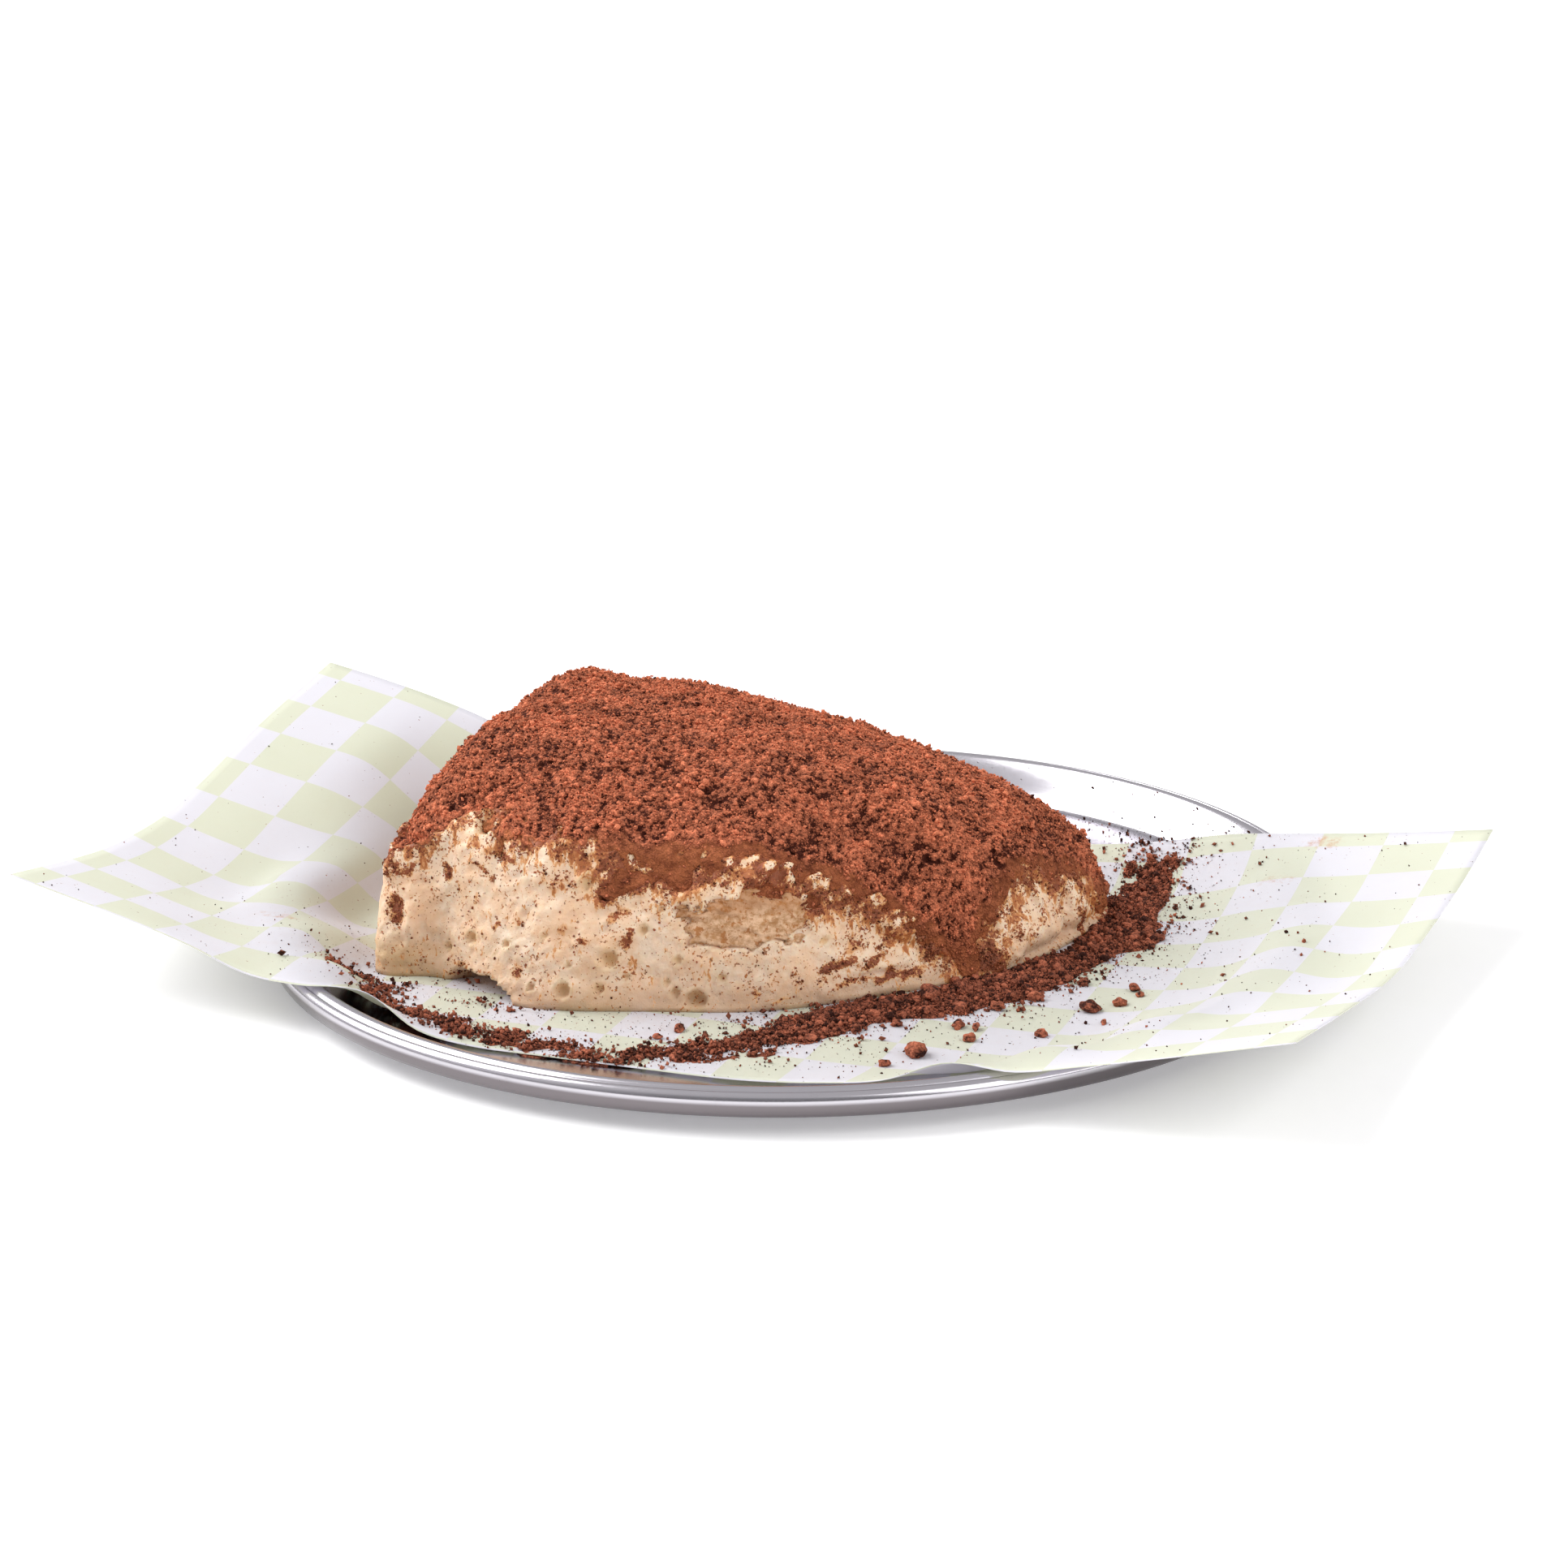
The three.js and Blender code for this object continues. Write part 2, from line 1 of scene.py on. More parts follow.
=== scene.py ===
import bmesh
import bpy
import numpy as np
from mathutils import Matrix, Quaternion, Vector
from mathutils.bvhtree import BVHTree


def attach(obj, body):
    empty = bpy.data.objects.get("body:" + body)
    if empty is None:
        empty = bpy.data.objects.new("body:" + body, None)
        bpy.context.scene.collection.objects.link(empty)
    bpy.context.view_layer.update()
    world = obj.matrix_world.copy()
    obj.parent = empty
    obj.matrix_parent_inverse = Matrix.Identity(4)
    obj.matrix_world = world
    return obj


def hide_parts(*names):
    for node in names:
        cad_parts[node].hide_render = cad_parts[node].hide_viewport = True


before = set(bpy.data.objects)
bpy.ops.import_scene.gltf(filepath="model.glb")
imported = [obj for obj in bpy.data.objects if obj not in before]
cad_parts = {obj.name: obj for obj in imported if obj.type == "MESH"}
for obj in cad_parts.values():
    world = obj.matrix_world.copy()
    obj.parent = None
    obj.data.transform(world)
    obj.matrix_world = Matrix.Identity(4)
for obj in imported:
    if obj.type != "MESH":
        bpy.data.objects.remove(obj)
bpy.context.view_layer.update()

MM = 0.001


# ---------- Materials, meshes and grids ----------
# What all the pieces share. Lengths are in millimetres, except inside the materials, where
# they are in metres as Blender has them.


class Socket:
    """A value in a material. Its arithmetic adds Math nodes, and node() adds any other node."""

    def __init__(self, tree, output=None):
        self.tree = tree
        self.output = output

    def node(self, kind, settings=None, values=None, output=0):
        """Adds a node: first its settings, then the values or links of its sockets."""
        node = self.tree.nodes.new("ShaderNode" + kind)
        for name, value in (settings or {}).items():
            if name == "stops":
                ramp = node.color_ramp
                ramp.elements[0].position = value[0][0]
                ramp.elements[1].position = value[-1][0]
                for place, colour in value[1:-1]:
                    ramp.elements.new(place)
                for element, (place, colour) in zip(ramp.elements, value):
                    element.color = (*colour, 1)
            else:
                setattr(node, name, value)
        for name, value in (values or {}).items():
            if isinstance(value, Socket):
                self.tree.links.new(value.output, node.inputs[name])
            else:
                node.inputs[name].default_value = value
        return Socket(self.tree, node.outputs[output])

    def maths(self, operation, first, second):
        return self.node("Math", {"operation": operation}, {0: first, 1: second})

    def __add__(self, other):
        return self.maths("ADD", self, other)

    __radd__ = __add__

    def __sub__(self, other):
        return self.maths("SUBTRACT", self, other)

    def __rsub__(self, other):
        return self.maths("SUBTRACT", other, self)

    def __mul__(self, other):
        return self.maths("MULTIPLY", self, other)

    __rmul__ = __mul__

    def __truediv__(self, other):
        return self.maths("DIVIDE", self, other)

    def larger(self, other):
        return self.maths("MAXIMUM", self, other)

    def rise(self, low, high):
        """0 below low, 1 above high, and smooth between them."""
        settings = {"interpolation_type": "SMOOTHSTEP"}
        return self.node("MapRange", settings, {"Value": self, "From Min": low, "From Max": high})

    def between(self, low, high):
        """The colour `low` where this value is 0 and `high` where it is 1."""
        colours = [c if isinstance(c, Socket) else (*c, 1) for c in (low, high)]
        return self.node("Mix", {"data_type": "RGBA"}, {0: self, 6: colours[0], 7: colours[1]}, output=2)


def finish_named(name, even):
    """A material whose shader has these even values, and a socket to build the rest on."""
    look = bpy.data.materials.new(name)
    look.use_nodes = True
    shader = look.node_tree.nodes["Principled BSDF"]
    for key, value in even.items():
        shader.inputs[key].default_value = value
    return look, Socket(look.node_tree)


def feed(look, varying):
    """Links what varies over the surface to the material's shader."""
    shader = look.node_tree.nodes["Principled BSDF"]
    for key, value in varying.items():
        look.node_tree.links.new(value.output, shader.inputs[key])


def grain(start, size, detail=3, roughness=0.6):
    """Random swell from 0 to 1 whose waves are `size` mm apart."""
    place = start.node("TexCoord", output="Object")
    values = {"Vector": place, "Scale": 1 / (size * MM), "Detail": detail, "Roughness": roughness}
    return start.node("TexNoise", values=values)


def mark(start, name):
    """A value that the mesh carries."""
    return start.node("Attribute", {"attribute_name": name}, output="Fac")


def piece(name, points, faces, look, **marks):
    """A smooth mesh from points in millimetres, carrying marks for its material."""
    mesh = bpy.data.meshes.new(name)
    mesh.from_pydata((points * MM).tolist(), [], faces.tolist())
    mesh.shade_smooth()
    for label, values in marks.items():
        attribute = mesh.attributes.new(label, "FLOAT", "POINT")
        attribute.data.foreach_set("value", np.asarray(values, np.float32).ravel())
    mesh.materials.append(look)
    thing = bpy.data.objects.new(name, mesh)
    bpy.context.scene.collection.objects.link(thing)
    return thing


def part_piece(name, points, faces, look, slot, node=None, **marks):
    """A piece of the part itself, in place of a CAD node where one is named."""
    thing = piece(name, points, faces, look, **marks)
    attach(thing, "root")
    if node:
        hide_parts(node)


def smooth(value, low, high):
    """0 below low, 1 above high, and smooth between them."""
    share = np.clip((value - low) / (high - low), 0, 1)
    return share * share * (3 - 2 * share)


def blot(along, up, a, b, wide, high, lean=0.0):
    """1 at the middle of a mark at a, b, fading to 0 at about its edge."""
    dx, dy = along - a, up - b
    dy = dy - lean * dx
    return np.exp(-((dx / wide) ** 2) - (dy / high) ** 2)


def grid_faces(rows, columns, closed=False):
    """Triangles between rows of points; closed joins each row's last point to its first."""
    i, j = np.meshgrid(np.arange(rows - 1), np.arange(columns if closed else columns - 1), indexing="ij")
    after = (j + 1) % columns
    a, b = i * columns + j, i * columns + after
    c, d = (i + 1) * columns + after, (i + 1) * columns + j
    return np.concatenate([np.stack([a, b, c], -1), np.stack([a, c, d], -1)]).reshape(-1, 3)


def border_of(rows, columns):
    """The numbers of a grid's points once round its edge."""
    number = np.arange(rows * columns).reshape(rows, columns)
    return np.concatenate([number[:-1, 0], number[-1, :-1], number[:0:-1, -1], number[0, :0:-1]])


def fan_faces(ring, centre):
    """Triangles from a ring of point numbers to one in its middle."""
    ring = np.asarray(ring)
    return np.stack([ring, np.roll(ring, -1), np.full(len(ring), centre)], -1)


# ---------- Steel plate ----------
# A plain round serving plate pressed from thin stainless sheet. Its wall rises to a crest
# with a fine groove in it, and the edge is turned down outside to a short lip. The steel is
# spun to a satin finish, so the finest scratches run round it.

PLATE = {"rim": 102, "crest": 99, "floor": 91.5, "height": 8.4, "lip": 3.6, "steel": 0.8}


def plate_top(radius):
    """Height of the plate's upper surface inside its crest."""
    rise = PLATE["height"] - PLATE["steel"]
    return PLATE["steel"] + rise * smooth(radius, PLATE["floor"], PLATE["crest"])


def plate_outline():
    """The plate's section, from the middle of its top over the rim and back underneath."""
    floor = np.linspace(4, PLATE["floor"], 14)[:-1]
    wall = np.linspace(PLATE["floor"], 98.4, 22)
    upper = [np.stack([floor, np.full_like(floor, PLATE["steel"])], 1)]
    upper.append(np.stack([wall, plate_top(wall)], 1))
    upper.append(np.array([
        [98.8, 8.36], [99.3, 8.33], [99.7, 8.2], [99.95, 7.95], [100.15, 7.7], [100.3, 7.64], [100.45, 7.78],
    ]))
    roll_start, roll_low, roll_high = 100.65, 6.5, 1.5
    angle = np.linspace(0, np.pi / 2, 11)
    out = roll_start + (PLATE["rim"] - roll_start) * np.sin(angle)
    upper.append(np.stack([out, roll_low + roll_high * np.cos(angle)], 1))
    upper.append(np.array([[101.93, 5.8], [101.75, 5.1], [101.5, 4.4], [101.2, PLATE["lip"] + 0.15]]))
    upper = np.concatenate(upper)
    run = np.gradient(upper, axis=0)
    run /= np.linalg.norm(run, axis=1, keepdims=True)
    lower = upper + PLATE["steel"] * np.stack([run[:, 1], -run[:, 0]], 1)
    lower[:, 1] = np.maximum(lower[:, 1], 0)
    lower[:14, 1] = 0
    edge = np.array([[101.0, PLATE["lip"]], [100.6, PLATE["lip"]]])
    return np.concatenate([upper, edge, lower[::-1]])


def plate_mesh():
    """The plate's section turned once round, with a point in the middle above and below."""
    section = plate_outline()
    sides = 192
    angle = np.arange(sides) / sides * 2 * np.pi
    around = np.stack([np.cos(angle), np.sin(angle)], 1)
    flat = section[:, None, :1] * around[None]
    height = np.repeat(section[:, None, 1:], sides, axis=1)
    points = np.concatenate([flat, height], 2).reshape(-1, 3)
    faces = grid_faces(len(section), sides, closed=True)
    last = (len(section) - 1) * sides
    top, base = len(points), len(points) + 1
    points = np.concatenate([points, [[0, 0, PLATE["steel"]], [0, 0, 0]]])
    ends = [fan_faces(np.arange(sides)[::-1], top), fan_faces(last + np.arange(sides), base)]
    return points, np.concatenate([faces[:, ::-1], *[end[:, ::-1] for end in ends]])


def steel_finish():
    """Satin steel, faintly clouded and stained, with a painted dark reflection of the shadowed table on its
    turned-down lip.
    """
    look, start = finish_named("satin_steel", {"Metallic": 1.0})
    place = start.node("TexCoord", output="Object")
    radius = start.node("VectorMath", {"operation": "LENGTH"}, {0: place}, output="Value")
    lines = start.node("TexNoise", {"noise_dimensions": "1D"}, {"W": radius * 2600, "Detail": 4})
    cloud = grain(start, 22, 4)
    stains = grain(start, 6, 5, 0.7).rise(0.56, 0.75)
    rough = 0.13 + cloud * 0.08 + lines * 0.07 + stains * 0.08
    colour = (cloud * 0.5 + stains * 0.5).between((0.58, 0.56, 0.60), (0.49, 0.47, 0.50))
    height = start.node("SeparateXYZ", values={0: place}, output="Z")
    # Painted shade on the lower outer lip, standing in for its dark reflection of the table's shadow.
    painted_lip_shade = radius.rise(0.1008, 0.1014) * height.rise(0.0066, 0.0058)
    colour = (painted_lip_shade * 0.9).between(colour, (0.15, 0.13, 0.135))
    bump = start.node("Bump", values={"Strength": 0.15, "Distance": 0.00005, "Height": lines})
    feed(look, {"Base Color": colour, "Roughness": rough, "Normal": bump})
    return look


part_piece("steel_plate", *plate_mesh(), steel_finish(), "steel", "plate")


# ---------- Checked paper ----------
# A sheet of thin greaseproof paper printed with half-inch checks, white and pale green. It
# lies flat under the slice, rises over the plate's rim and curls up at its ends. Cocoa has
# dusted it, thickest near the slice, and smeared a little in places.

SHEET = {
    "length": 254, "width": 133, "thickness": 0.14, "turn": -20.95, "centre": (-8.8, -8.5), "level": 1.3,
    "clear_of_rim": 0.5, "steps": (126, 66),
}
CHECK = 12.7
FIRST_CHECK = (5.46, -2.54)      # where one of the green checks begins, from the sheet's middle
CREASES = [
    # towards, start, slope, soft
    (194.2, 65.5, 0.224, 1.5),
    (114.1, 30.2, 0.29, 11.9),
    (-130.3, 79.9, 0.275, 3.6),
    (-25.1, 57.1, 0.082, 4.4),
    (-39.5, 77.8, 0.189, 19.7),
    (70, 37.7, 0.176, 4.9),
    (88.9, 74, 0.597, 1.7),
    (197.7, 85.7, -0.159, 20.8),
]
SHIFTS = np.array([
    # x, y, z at eight places from the left end, by five from the front edge
    [[2.3, -2.3, 0.6], [0.3, -1.7, 0.7], [-0.9, -1.2, 0.5], [-1.3, -1.3, 1.1], [-2.3, -0.7, -0.6]],
    [[2.0, -0.8, 0.6], [0.7, -0.5, -0.6], [-0.6, 0.0, -0.9], [-0.4, -0.4, 1.0], [-1.3, 0.1, -0.2]],
    [[0.3, -0.5, -1.3], [1.9, -0.9, -4.5], [-0.8, 0.1, -0.7], [-1.2, -0.7, 1.4], [-0.5, 1.8, -2.9]],
    [[0.1, 0.0, -0.1], [-0.1, 0.0, 0.5], [0.0, 0.0, 0.0], [0.1, 0.1, -0.1], [0.1, 0.1, -0.7]],
    [[-0.1, 0.0, -0.2], [0.0, 0.3, 0.0], [0.0, -0.1, -0.1], [-0.4, 0.2, -0.3], [0.0, 0.2, -0.3]],
    [[-0.9, 0.1, 0.4], [-1.0, -0.1, 0.2], [0.1, 0.7, 3.2], [1.8, -1.1, 2.3], [1.2, 0.0, -2.1]],
    [[-2.7, -0.5, 0.2], [-1.3, -0.4, -0.1], [0.0, -0.3, -0.4], [1.5, -0.7, -0.3], [2.3, -1.5, 0.3]],
    [[-3.9, -1.1, 1.1], [-3.0, -1.4, 0.5], [-1.1, -1.8, 1.0], [0.8, -2.5, 1.2], [2.6, -3.2, 0.9]],
])
PRESSED = {"centre": (-8.5, -6), "half": (72.5, 55), "free": 1.35}
SLICE_TURN = np.radians(-22)     # from +X to the slice's long side
SLICE_BASE = 1.8


def on_table(points):
    """Points in the slice's own axes, moved to the plate's."""
    cos, sin = np.cos(SLICE_TURN), np.sin(SLICE_TURN)
    x, y, z = points[..., 0], points[..., 1], points[..., 2]
    return np.stack([x * cos - y * sin, x * sin + y * cos, z + SLICE_BASE], -1)


def slice_axes(x, y):
    """Places on the table, along and across the slice."""
    cos, sin = np.cos(SLICE_TURN), np.sin(SLICE_TURN)
    return x * cos + y * sin, y * cos - x * sin


def sheet_lift(s, t):
    """How high the folds raise a place on the flat sheet."""
    lift = 0
    for towards, start, slope, soft in CREASES:
        beyond = s * np.cos(np.radians(towards)) + t * np.sin(np.radians(towards)) - start
        lift = lift + slope * 0.5 * (beyond + np.hypot(beyond, soft))
    return lift


def freedom_at(x, y):
    """How far the slice lets a place lift: 0 under it, 1 well away from it."""
    along, across = slice_axes(x, y)
    along = (along - PRESSED["centre"][0]) / PRESSED["half"][0]
    across = (across - PRESSED["centre"][1]) / PRESSED["half"][1]
    return smooth((along**4 + across**4) ** 0.25, 1, PRESSED["free"])


def over_rim(net, margin):
    """Lifts the points of a net that would come too close to the plate's rim."""
    radius = np.hypot(net[..., 0], net[..., 1])
    needed = plate_top(np.minimum(radius + margin, PLATE["crest"])) + SHEET["clear_of_rim"]
    near = radius <= PLATE["rim"] + margin
    net[..., 2] = np.where(near, np.maximum(net[..., 2], needed), net[..., 2])


def spline_weights(f):
    """Weights of the four points round a fraction f of a step, for a smooth curve through them."""
    f2, f3 = f * f, f * f * f
    return np.stack([-f + 2 * f2 - f3, 2 - 5 * f2 + 3 * f3, f + 4 * f2 - 3 * f3, f3 - f2], -1) / 2


def mirrored_out(values):
    """Rows with one more at each end that continues them."""
    return np.concatenate([2 * values[:1] - values[1:2], values, 2 * values[-1:] - values[-2:-1]])


def spline_rows(values, place):
    """Smooth values between rows, at these row numbers."""
    first = np.clip(np.floor(place).astype(int), 0, len(values) - 2)
    weights = spline_weights(place - first)
    padded = mirrored_out(values)
    shape = (-1,) + (1,) * (values.ndim - 1)
    return sum(weights[:, k].reshape(shape) * padded[first + k] for k in range(4))


def sheet_net():
    """The sheet's middle surface as a coarse net whose threads keep their flat length."""
    columns, rows = 20, 10
    pitch = SHEET["length"] / columns, SHEET["width"] / rows
    i, j = np.meshgrid(np.arange(columns + 1), np.arange(rows + 1), indexing="ij")
    s = (i - columns / 2) * pitch[0]
    t = (j - rows / 2) * pitch[1]
    cos, sin = np.cos(np.radians(SHEET["turn"])), np.sin(np.radians(SHEET["turn"]))
    x = SHEET["centre"][0] + s * cos - t * sin
    y = SHEET["centre"][1] + s * sin + t * cos
    z = SHEET["level"] + (sheet_lift(s, t) - sheet_lift(0, 0)) * freedom_at(x, y)
    threads = []
    for di, dj in [(1, 0), (0, 1), (1, 1), (1, -1)]:
        for a in range(columns + 1 - di):
            for b in range(max(0, -dj), rows + 1 - max(dj, 0)):
                reach = float(np.hypot(di * pitch[0], dj * pitch[1]))
                threads.append((a * (rows + 1) + b, (a + di) * (rows + 1) + b + dj, reach))
    rounds, passes, share, margin = 3, 80, 0.25, 5.2
    net = np.stack([x, y, z], -1)
    for _ in range(rounds):
        px, py, pz = (net[..., k].ravel().tolist() for k in range(3))
        for _ in range(passes):
            for a, b, reach in threads:
                dx, dy, dz = px[b] - px[a], py[b] - py[a], pz[b] - pz[a]
                flat = (dx * dx + dy * dy) ** 0.5
                pull = share * ((dx * dx + dy * dy + dz * dz) ** 0.5 - reach) / flat
                px[a] += pull * dx
                py[a] += pull * dy
                px[b] -= pull * dx
                py[b] -= pull * dy
        net = np.stack([px, py, pz], -1).reshape(columns + 1, rows + 1, 3)
        over_rim(net, margin)
    shifts = spline_rows(SHIFTS, np.linspace(0, len(SHIFTS) - 1, columns + 1)).swapaxes(0, 1)
    shifts = spline_rows(shifts, np.linspace(0, len(shifts) - 1, rows + 1)).swapaxes(0, 1)
    net = net + shifts * freedom_at(net[..., 0], net[..., 1])[..., None]
    over_rim(net, margin)
    net[..., 2] = np.maximum(net[..., 2], SHEET["level"])
    return net


def sheet_surface(columns, rows):
    """The sheet's middle surface as a fine net, with each point's place on the flat sheet."""
    net = sheet_net()
    fine = spline_rows(net, np.linspace(0, net.shape[0] - 1, columns + 1))
    fine = spline_rows(fine.swapaxes(0, 1), np.linspace(0, net.shape[1] - 1, rows + 1)).swapaxes(0, 1)
    before = fine[..., 2].copy()
    over_rim(fine, 1.6)
    lifted = fine[..., 2] - before
    for _ in range(6):
        spread = np.pad(lifted, 1, mode="edge")
        spread = (spread[2:, 1:-1] + spread[:-2, 1:-1] + spread[1:-1, 2:] + spread[1:-1, :-2]) / 4
        lifted = np.maximum(lifted, spread)
    fine[..., 2] = before + lifted
    s, t = np.meshgrid(
        np.linspace(-0.5, 0.5, columns + 1) * SHEET["length"],
        np.linspace(-0.5, 0.5, rows + 1) * SHEET["width"],
        indexing="ij",
    )
    return fine, s, t


def sheet_body(fine, thickness):
    """A thin closed body round a net, upper side first."""
    normal = np.cross(np.gradient(fine, axis=0), np.gradient(fine, axis=1))
    normal /= np.linalg.norm(normal, axis=2, keepdims=True)
    points = np.stack([fine + normal * thickness / 2, fine - normal * thickness / 2]).reshape(-1, 3)
    columns, rows = fine.shape[:2]
    border = border_of(columns, rows)
    under = columns * rows
    upper = grid_faces(columns, rows)[:, ::-1]
    sides = np.stack([border, np.roll(border, -1), border + under], -1)
    corners = np.stack([np.roll(border, -1), np.roll(border, -1) + under, border + under], -1)
    return points, np.concatenate([upper, upper[:, ::-1] + under, sides[:, ::-1], corners[:, ::-1]])


def distance_to_route(route, along, across):
    """How far places are from a line through these points, and how far on along it, 0 to 1."""
    route = np.asarray(route, float)
    best = np.full(np.shape(along), 1e9)
    share = np.zeros(np.shape(along))
    for k, (start, end) in enumerate(zip(route[:-1], route[1:])):
        run = end - start
        f = ((along - start[0]) * run[0] + (across - start[1]) * run[1]) / (run @ run)
        f = np.clip(f, 0, 1)
        gap = np.hypot(along - start[0] - f * run[0], across - start[1] - f * run[1])
        nearer = gap < best
        best = np.where(nearer, gap, best)
        share = np.where(nearer, (k + f) / (len(route) - 1), share)
    return best, share


# The foot of the slice and the line of loose cocoa in front of it, in the slice's axes.
FOOT_LINE = [(-67, -44), (-52, -47), (-32, -57), (-8, -51), (14, -42), (40, -17), (50, 2), (53, 31)]
CRUMB_RING = [
    (-70.5, -54.5), (-61.4, -60.4), (-54.6, -65.2), (-46.8, -69.0), (-36.7, -70.6), (-27.4, -72.0),
    (-20.9, -73.5), (-15.2, -74.5), (-9.4, -74.9), (-4.9, -74.5), (0.9, -71.6), (7.5, -67.6),
    (14.1, -61.9), (19.8, -54.0), (25.4, -45.6), (29.5, -37.6),
]


def dust_on_paper(x, y):
    """How thickly fine cocoa has settled on the paper."""
    along, across = slice_axes(x, y)
    from_foot = distance_to_route(FOOT_LINE, along, across)[0]
    from_ring = distance_to_route(CRUMB_RING, along, across)[0]
    near = np.maximum(np.exp(-from_foot / 22), 0.8 * np.exp(-from_ring / 11))
    return np.clip(near + 0.12, 0, 1)


SMEARS = [
    # along, across, half length, half width, strength
    (-88, -46, 12, 2.5, 0.9),
    (84, 38, 9, 3.5, 0.8),
    (90, 52, 7, 5, 0.9),
    (97, 70, 4, 4, 0.6),
    (71, -38, 3, 1.2, 0.8),
    (-6, -56, 20, 3.5, 0.5),
    (20, -48, 12, 4, 0.6),
]


def smears_on_paper(x, y):
    """Where cocoa and coffee were wiped into the paper."""
    along, across = slice_axes(x, y)
    total = 0
    for a, b, long, wide, strength in SMEARS:
        total = total + strength * blot(along, across, a, b, long, wide)
    return np.clip(total, 0, 1)


def paper_finish():
    """White paper printed with checks by each point's place on the flat sheet, then dusted."""
    even = {
        "Roughness": 0.62,
        "Specular IOR Level": 0.35,
        "Subsurface Weight": 0.9,
        "Subsurface Radius": (1.0, 1.0, 1.0),
        "Subsurface Scale": 0.0006,
    }
    look, start = finish_named("checked_paper", even)
    odd = []
    for name, first in zip(("flat_s", "flat_t"), FIRST_CHECK):
        steps = (mark(start, name) - first) / CHECK
        halves = (start.node("Math", {"operation": "FLOOR"}, {0: steps})) / 2
        odd.append(start.node("Math", {"operation": "FRACT"}, {0: halves}) * 2)
    green = start.node("Math", {"operation": "COMPARE"}, {0: odd[0], 1: odd[1], 2: 0.5})
    cloud = grain(start, 14, 3)
    white = cloud.between((0.585, 0.575, 0.62), (0.56, 0.55, 0.595))
    tint = cloud.between((0.54, 0.555, 0.445), (0.515, 0.53, 0.42))
    colour = green.between(white, tint)
    dusting = mark(start, "dusting")
    fine = grain(start, 0.36, 2, 0.5).rise(0.66, 0.80) * dusting
    motes = (grain(start, 0.6, 1, 0.4) + dusting * 0.08).rise(0.80, 0.815)
    haze = grain(start, 3.0, 5, 0.7).rise(0.4, 0.8) * dusting * 0.16
    smear = (grain(start, 1.6, 5, 0.75) * mark(start, "smear")).rise(0.30, 0.55)
    colour = haze.between(colour, (0.52, 0.30, 0.18))
    colour = (smear * 0.75).between(colour, (0.45, 0.22, 0.11))
    colour = (fine * 0.7).larger(motes).between(colour, (0.24, 0.095, 0.05))
    bump = start.node("Bump", values={"Strength": 0.35, "Distance": 0.0002, "Height": grain(start, 18, 4)})
    feed(look, {"Base Color": colour, "Normal": bump})
    return look


sheet_fine, sheet_s, sheet_t = sheet_surface(*SHEET["steps"])
paper_points, paper_faces = sheet_body(sheet_fine, SHEET["thickness"])
paper_x, paper_y = paper_points[:, 0], paper_points[:, 1]
part_piece(
    "checked_paper", paper_points, paper_faces, paper_finish(), "paper", "paper",
    flat_s=np.tile(sheet_s.ravel(), 2), flat_t=np.tile(sheet_t.ravel(), 2),
    dusting=dust_on_paper(paper_x, paper_y), smear=smears_on_paper(paper_x, paper_y),
)


# ---------- Cream ----------
# The body of the slice: mascarpone cream spread in layers and cut with a knife, so that its
# sides show soft lumps, burst bubbles, drag marks and smears of the cocoa from above. The
# foot is hollow at the front left, where the sponge beneath has come away.

CROWN = np.array([-8.0, -4.0])
FOOT_LEVEL = -0.42               # where the slice meets the paper
FRONT_EDGE = -20                 # the cut front side lies where across is below this
TOP = {"height": 41.2, "level_to": -45, "ridge": 4, "right": 0.00236, "front": 0.0034, "back": 0.0050}
STATIONS = np.array([
    # foot along, across; shoulder along, across, up; bulge; reach; ledge
    (-67.2, -47, -65.6, -42.6, 22, 0.5, 11.5, 4.5),
    (-51.6, -48.5, -50, -46, 28, 1.0, 30, 0),
    (-32, -57, -30, -48, 28, 0.5, 30, 0),
    (-8, -51, -10, -44, 26, 1.5, 28, 0),
    (14, -42, 12, -35, 21, 1.5, 26, 0),
    (40, -17, 37, -17, 4, 0.0, 30, 0),
    (50, 2, 46, 1, 15, 1.0, 18, 0),
    (52.5, 31, 49.3, 28.5, 12.4, 1.0, 17, 0),
    (26, 38, 23.3, 32.6, 25.5, 1.0, 10, 0),
    (-20, 38, -20, 33, 33.5, 1.0, 11.5, 0),
    (-60, 37, -58, 33, 32.5, 1.0, 10.5, 0),
    (-70, -5, -68.2, -5, 26.8, 0.5, 17.3, 1.8),
])
# How far up the wall (0 foot, 1 shoulder, 2 crown) the cocoa comes down to, round the slice.
COCOA_EDGE = np.array([
    (0.000, 0.97), (0.045, 0.99), (0.068, 1.01), (0.080, 1.06), (0.095, 1.09), (0.115, 1.07), (0.125, 1.00),
    (0.150, 1.00), (0.183, 0.99), (0.205, 0.98), (0.222, 0.93), (0.240, 0.91), (0.262, 0.92), (0.289, 0.97),
    (0.308, 1.05), (0.328, 1.02),
    (0.347, 1.00), (0.367, 1.03), (0.386, 1.02), (0.403, 1.00), (0.414, 0.70), (0.418, 0.00),
    (0.430, 0.00), (0.440, 0.80), (0.450, 1.00), (0.467, 0.95), (0.480, 0.90), (0.492, 0.98), (0.506, 0.92),
    (0.520, 0.80), (0.538, 0.72), (0.548, 0.55), (0.556, 0.20), (0.570, 0.10), (0.600, 0.45),
    (0.640, 0.62), (0.700, 0.70), (0.760, 0.62), (0.830, 0.78), (0.880, 0.85), (0.930, 0.96),
    (0.970, 1.01), (1.000, 1.02),
])


def station_at(u):
    """The outline's sizes between its stations, u from 0 to 1 round the slice."""
    place = u * len(STATIONS)
    first = np.floor(place).astype(int)
    weights = spline_weights(place - first)
    return sum(weights[..., k, None] * STATIONS[(first + k - 1) % len(STATIONS)] for k in range(4))


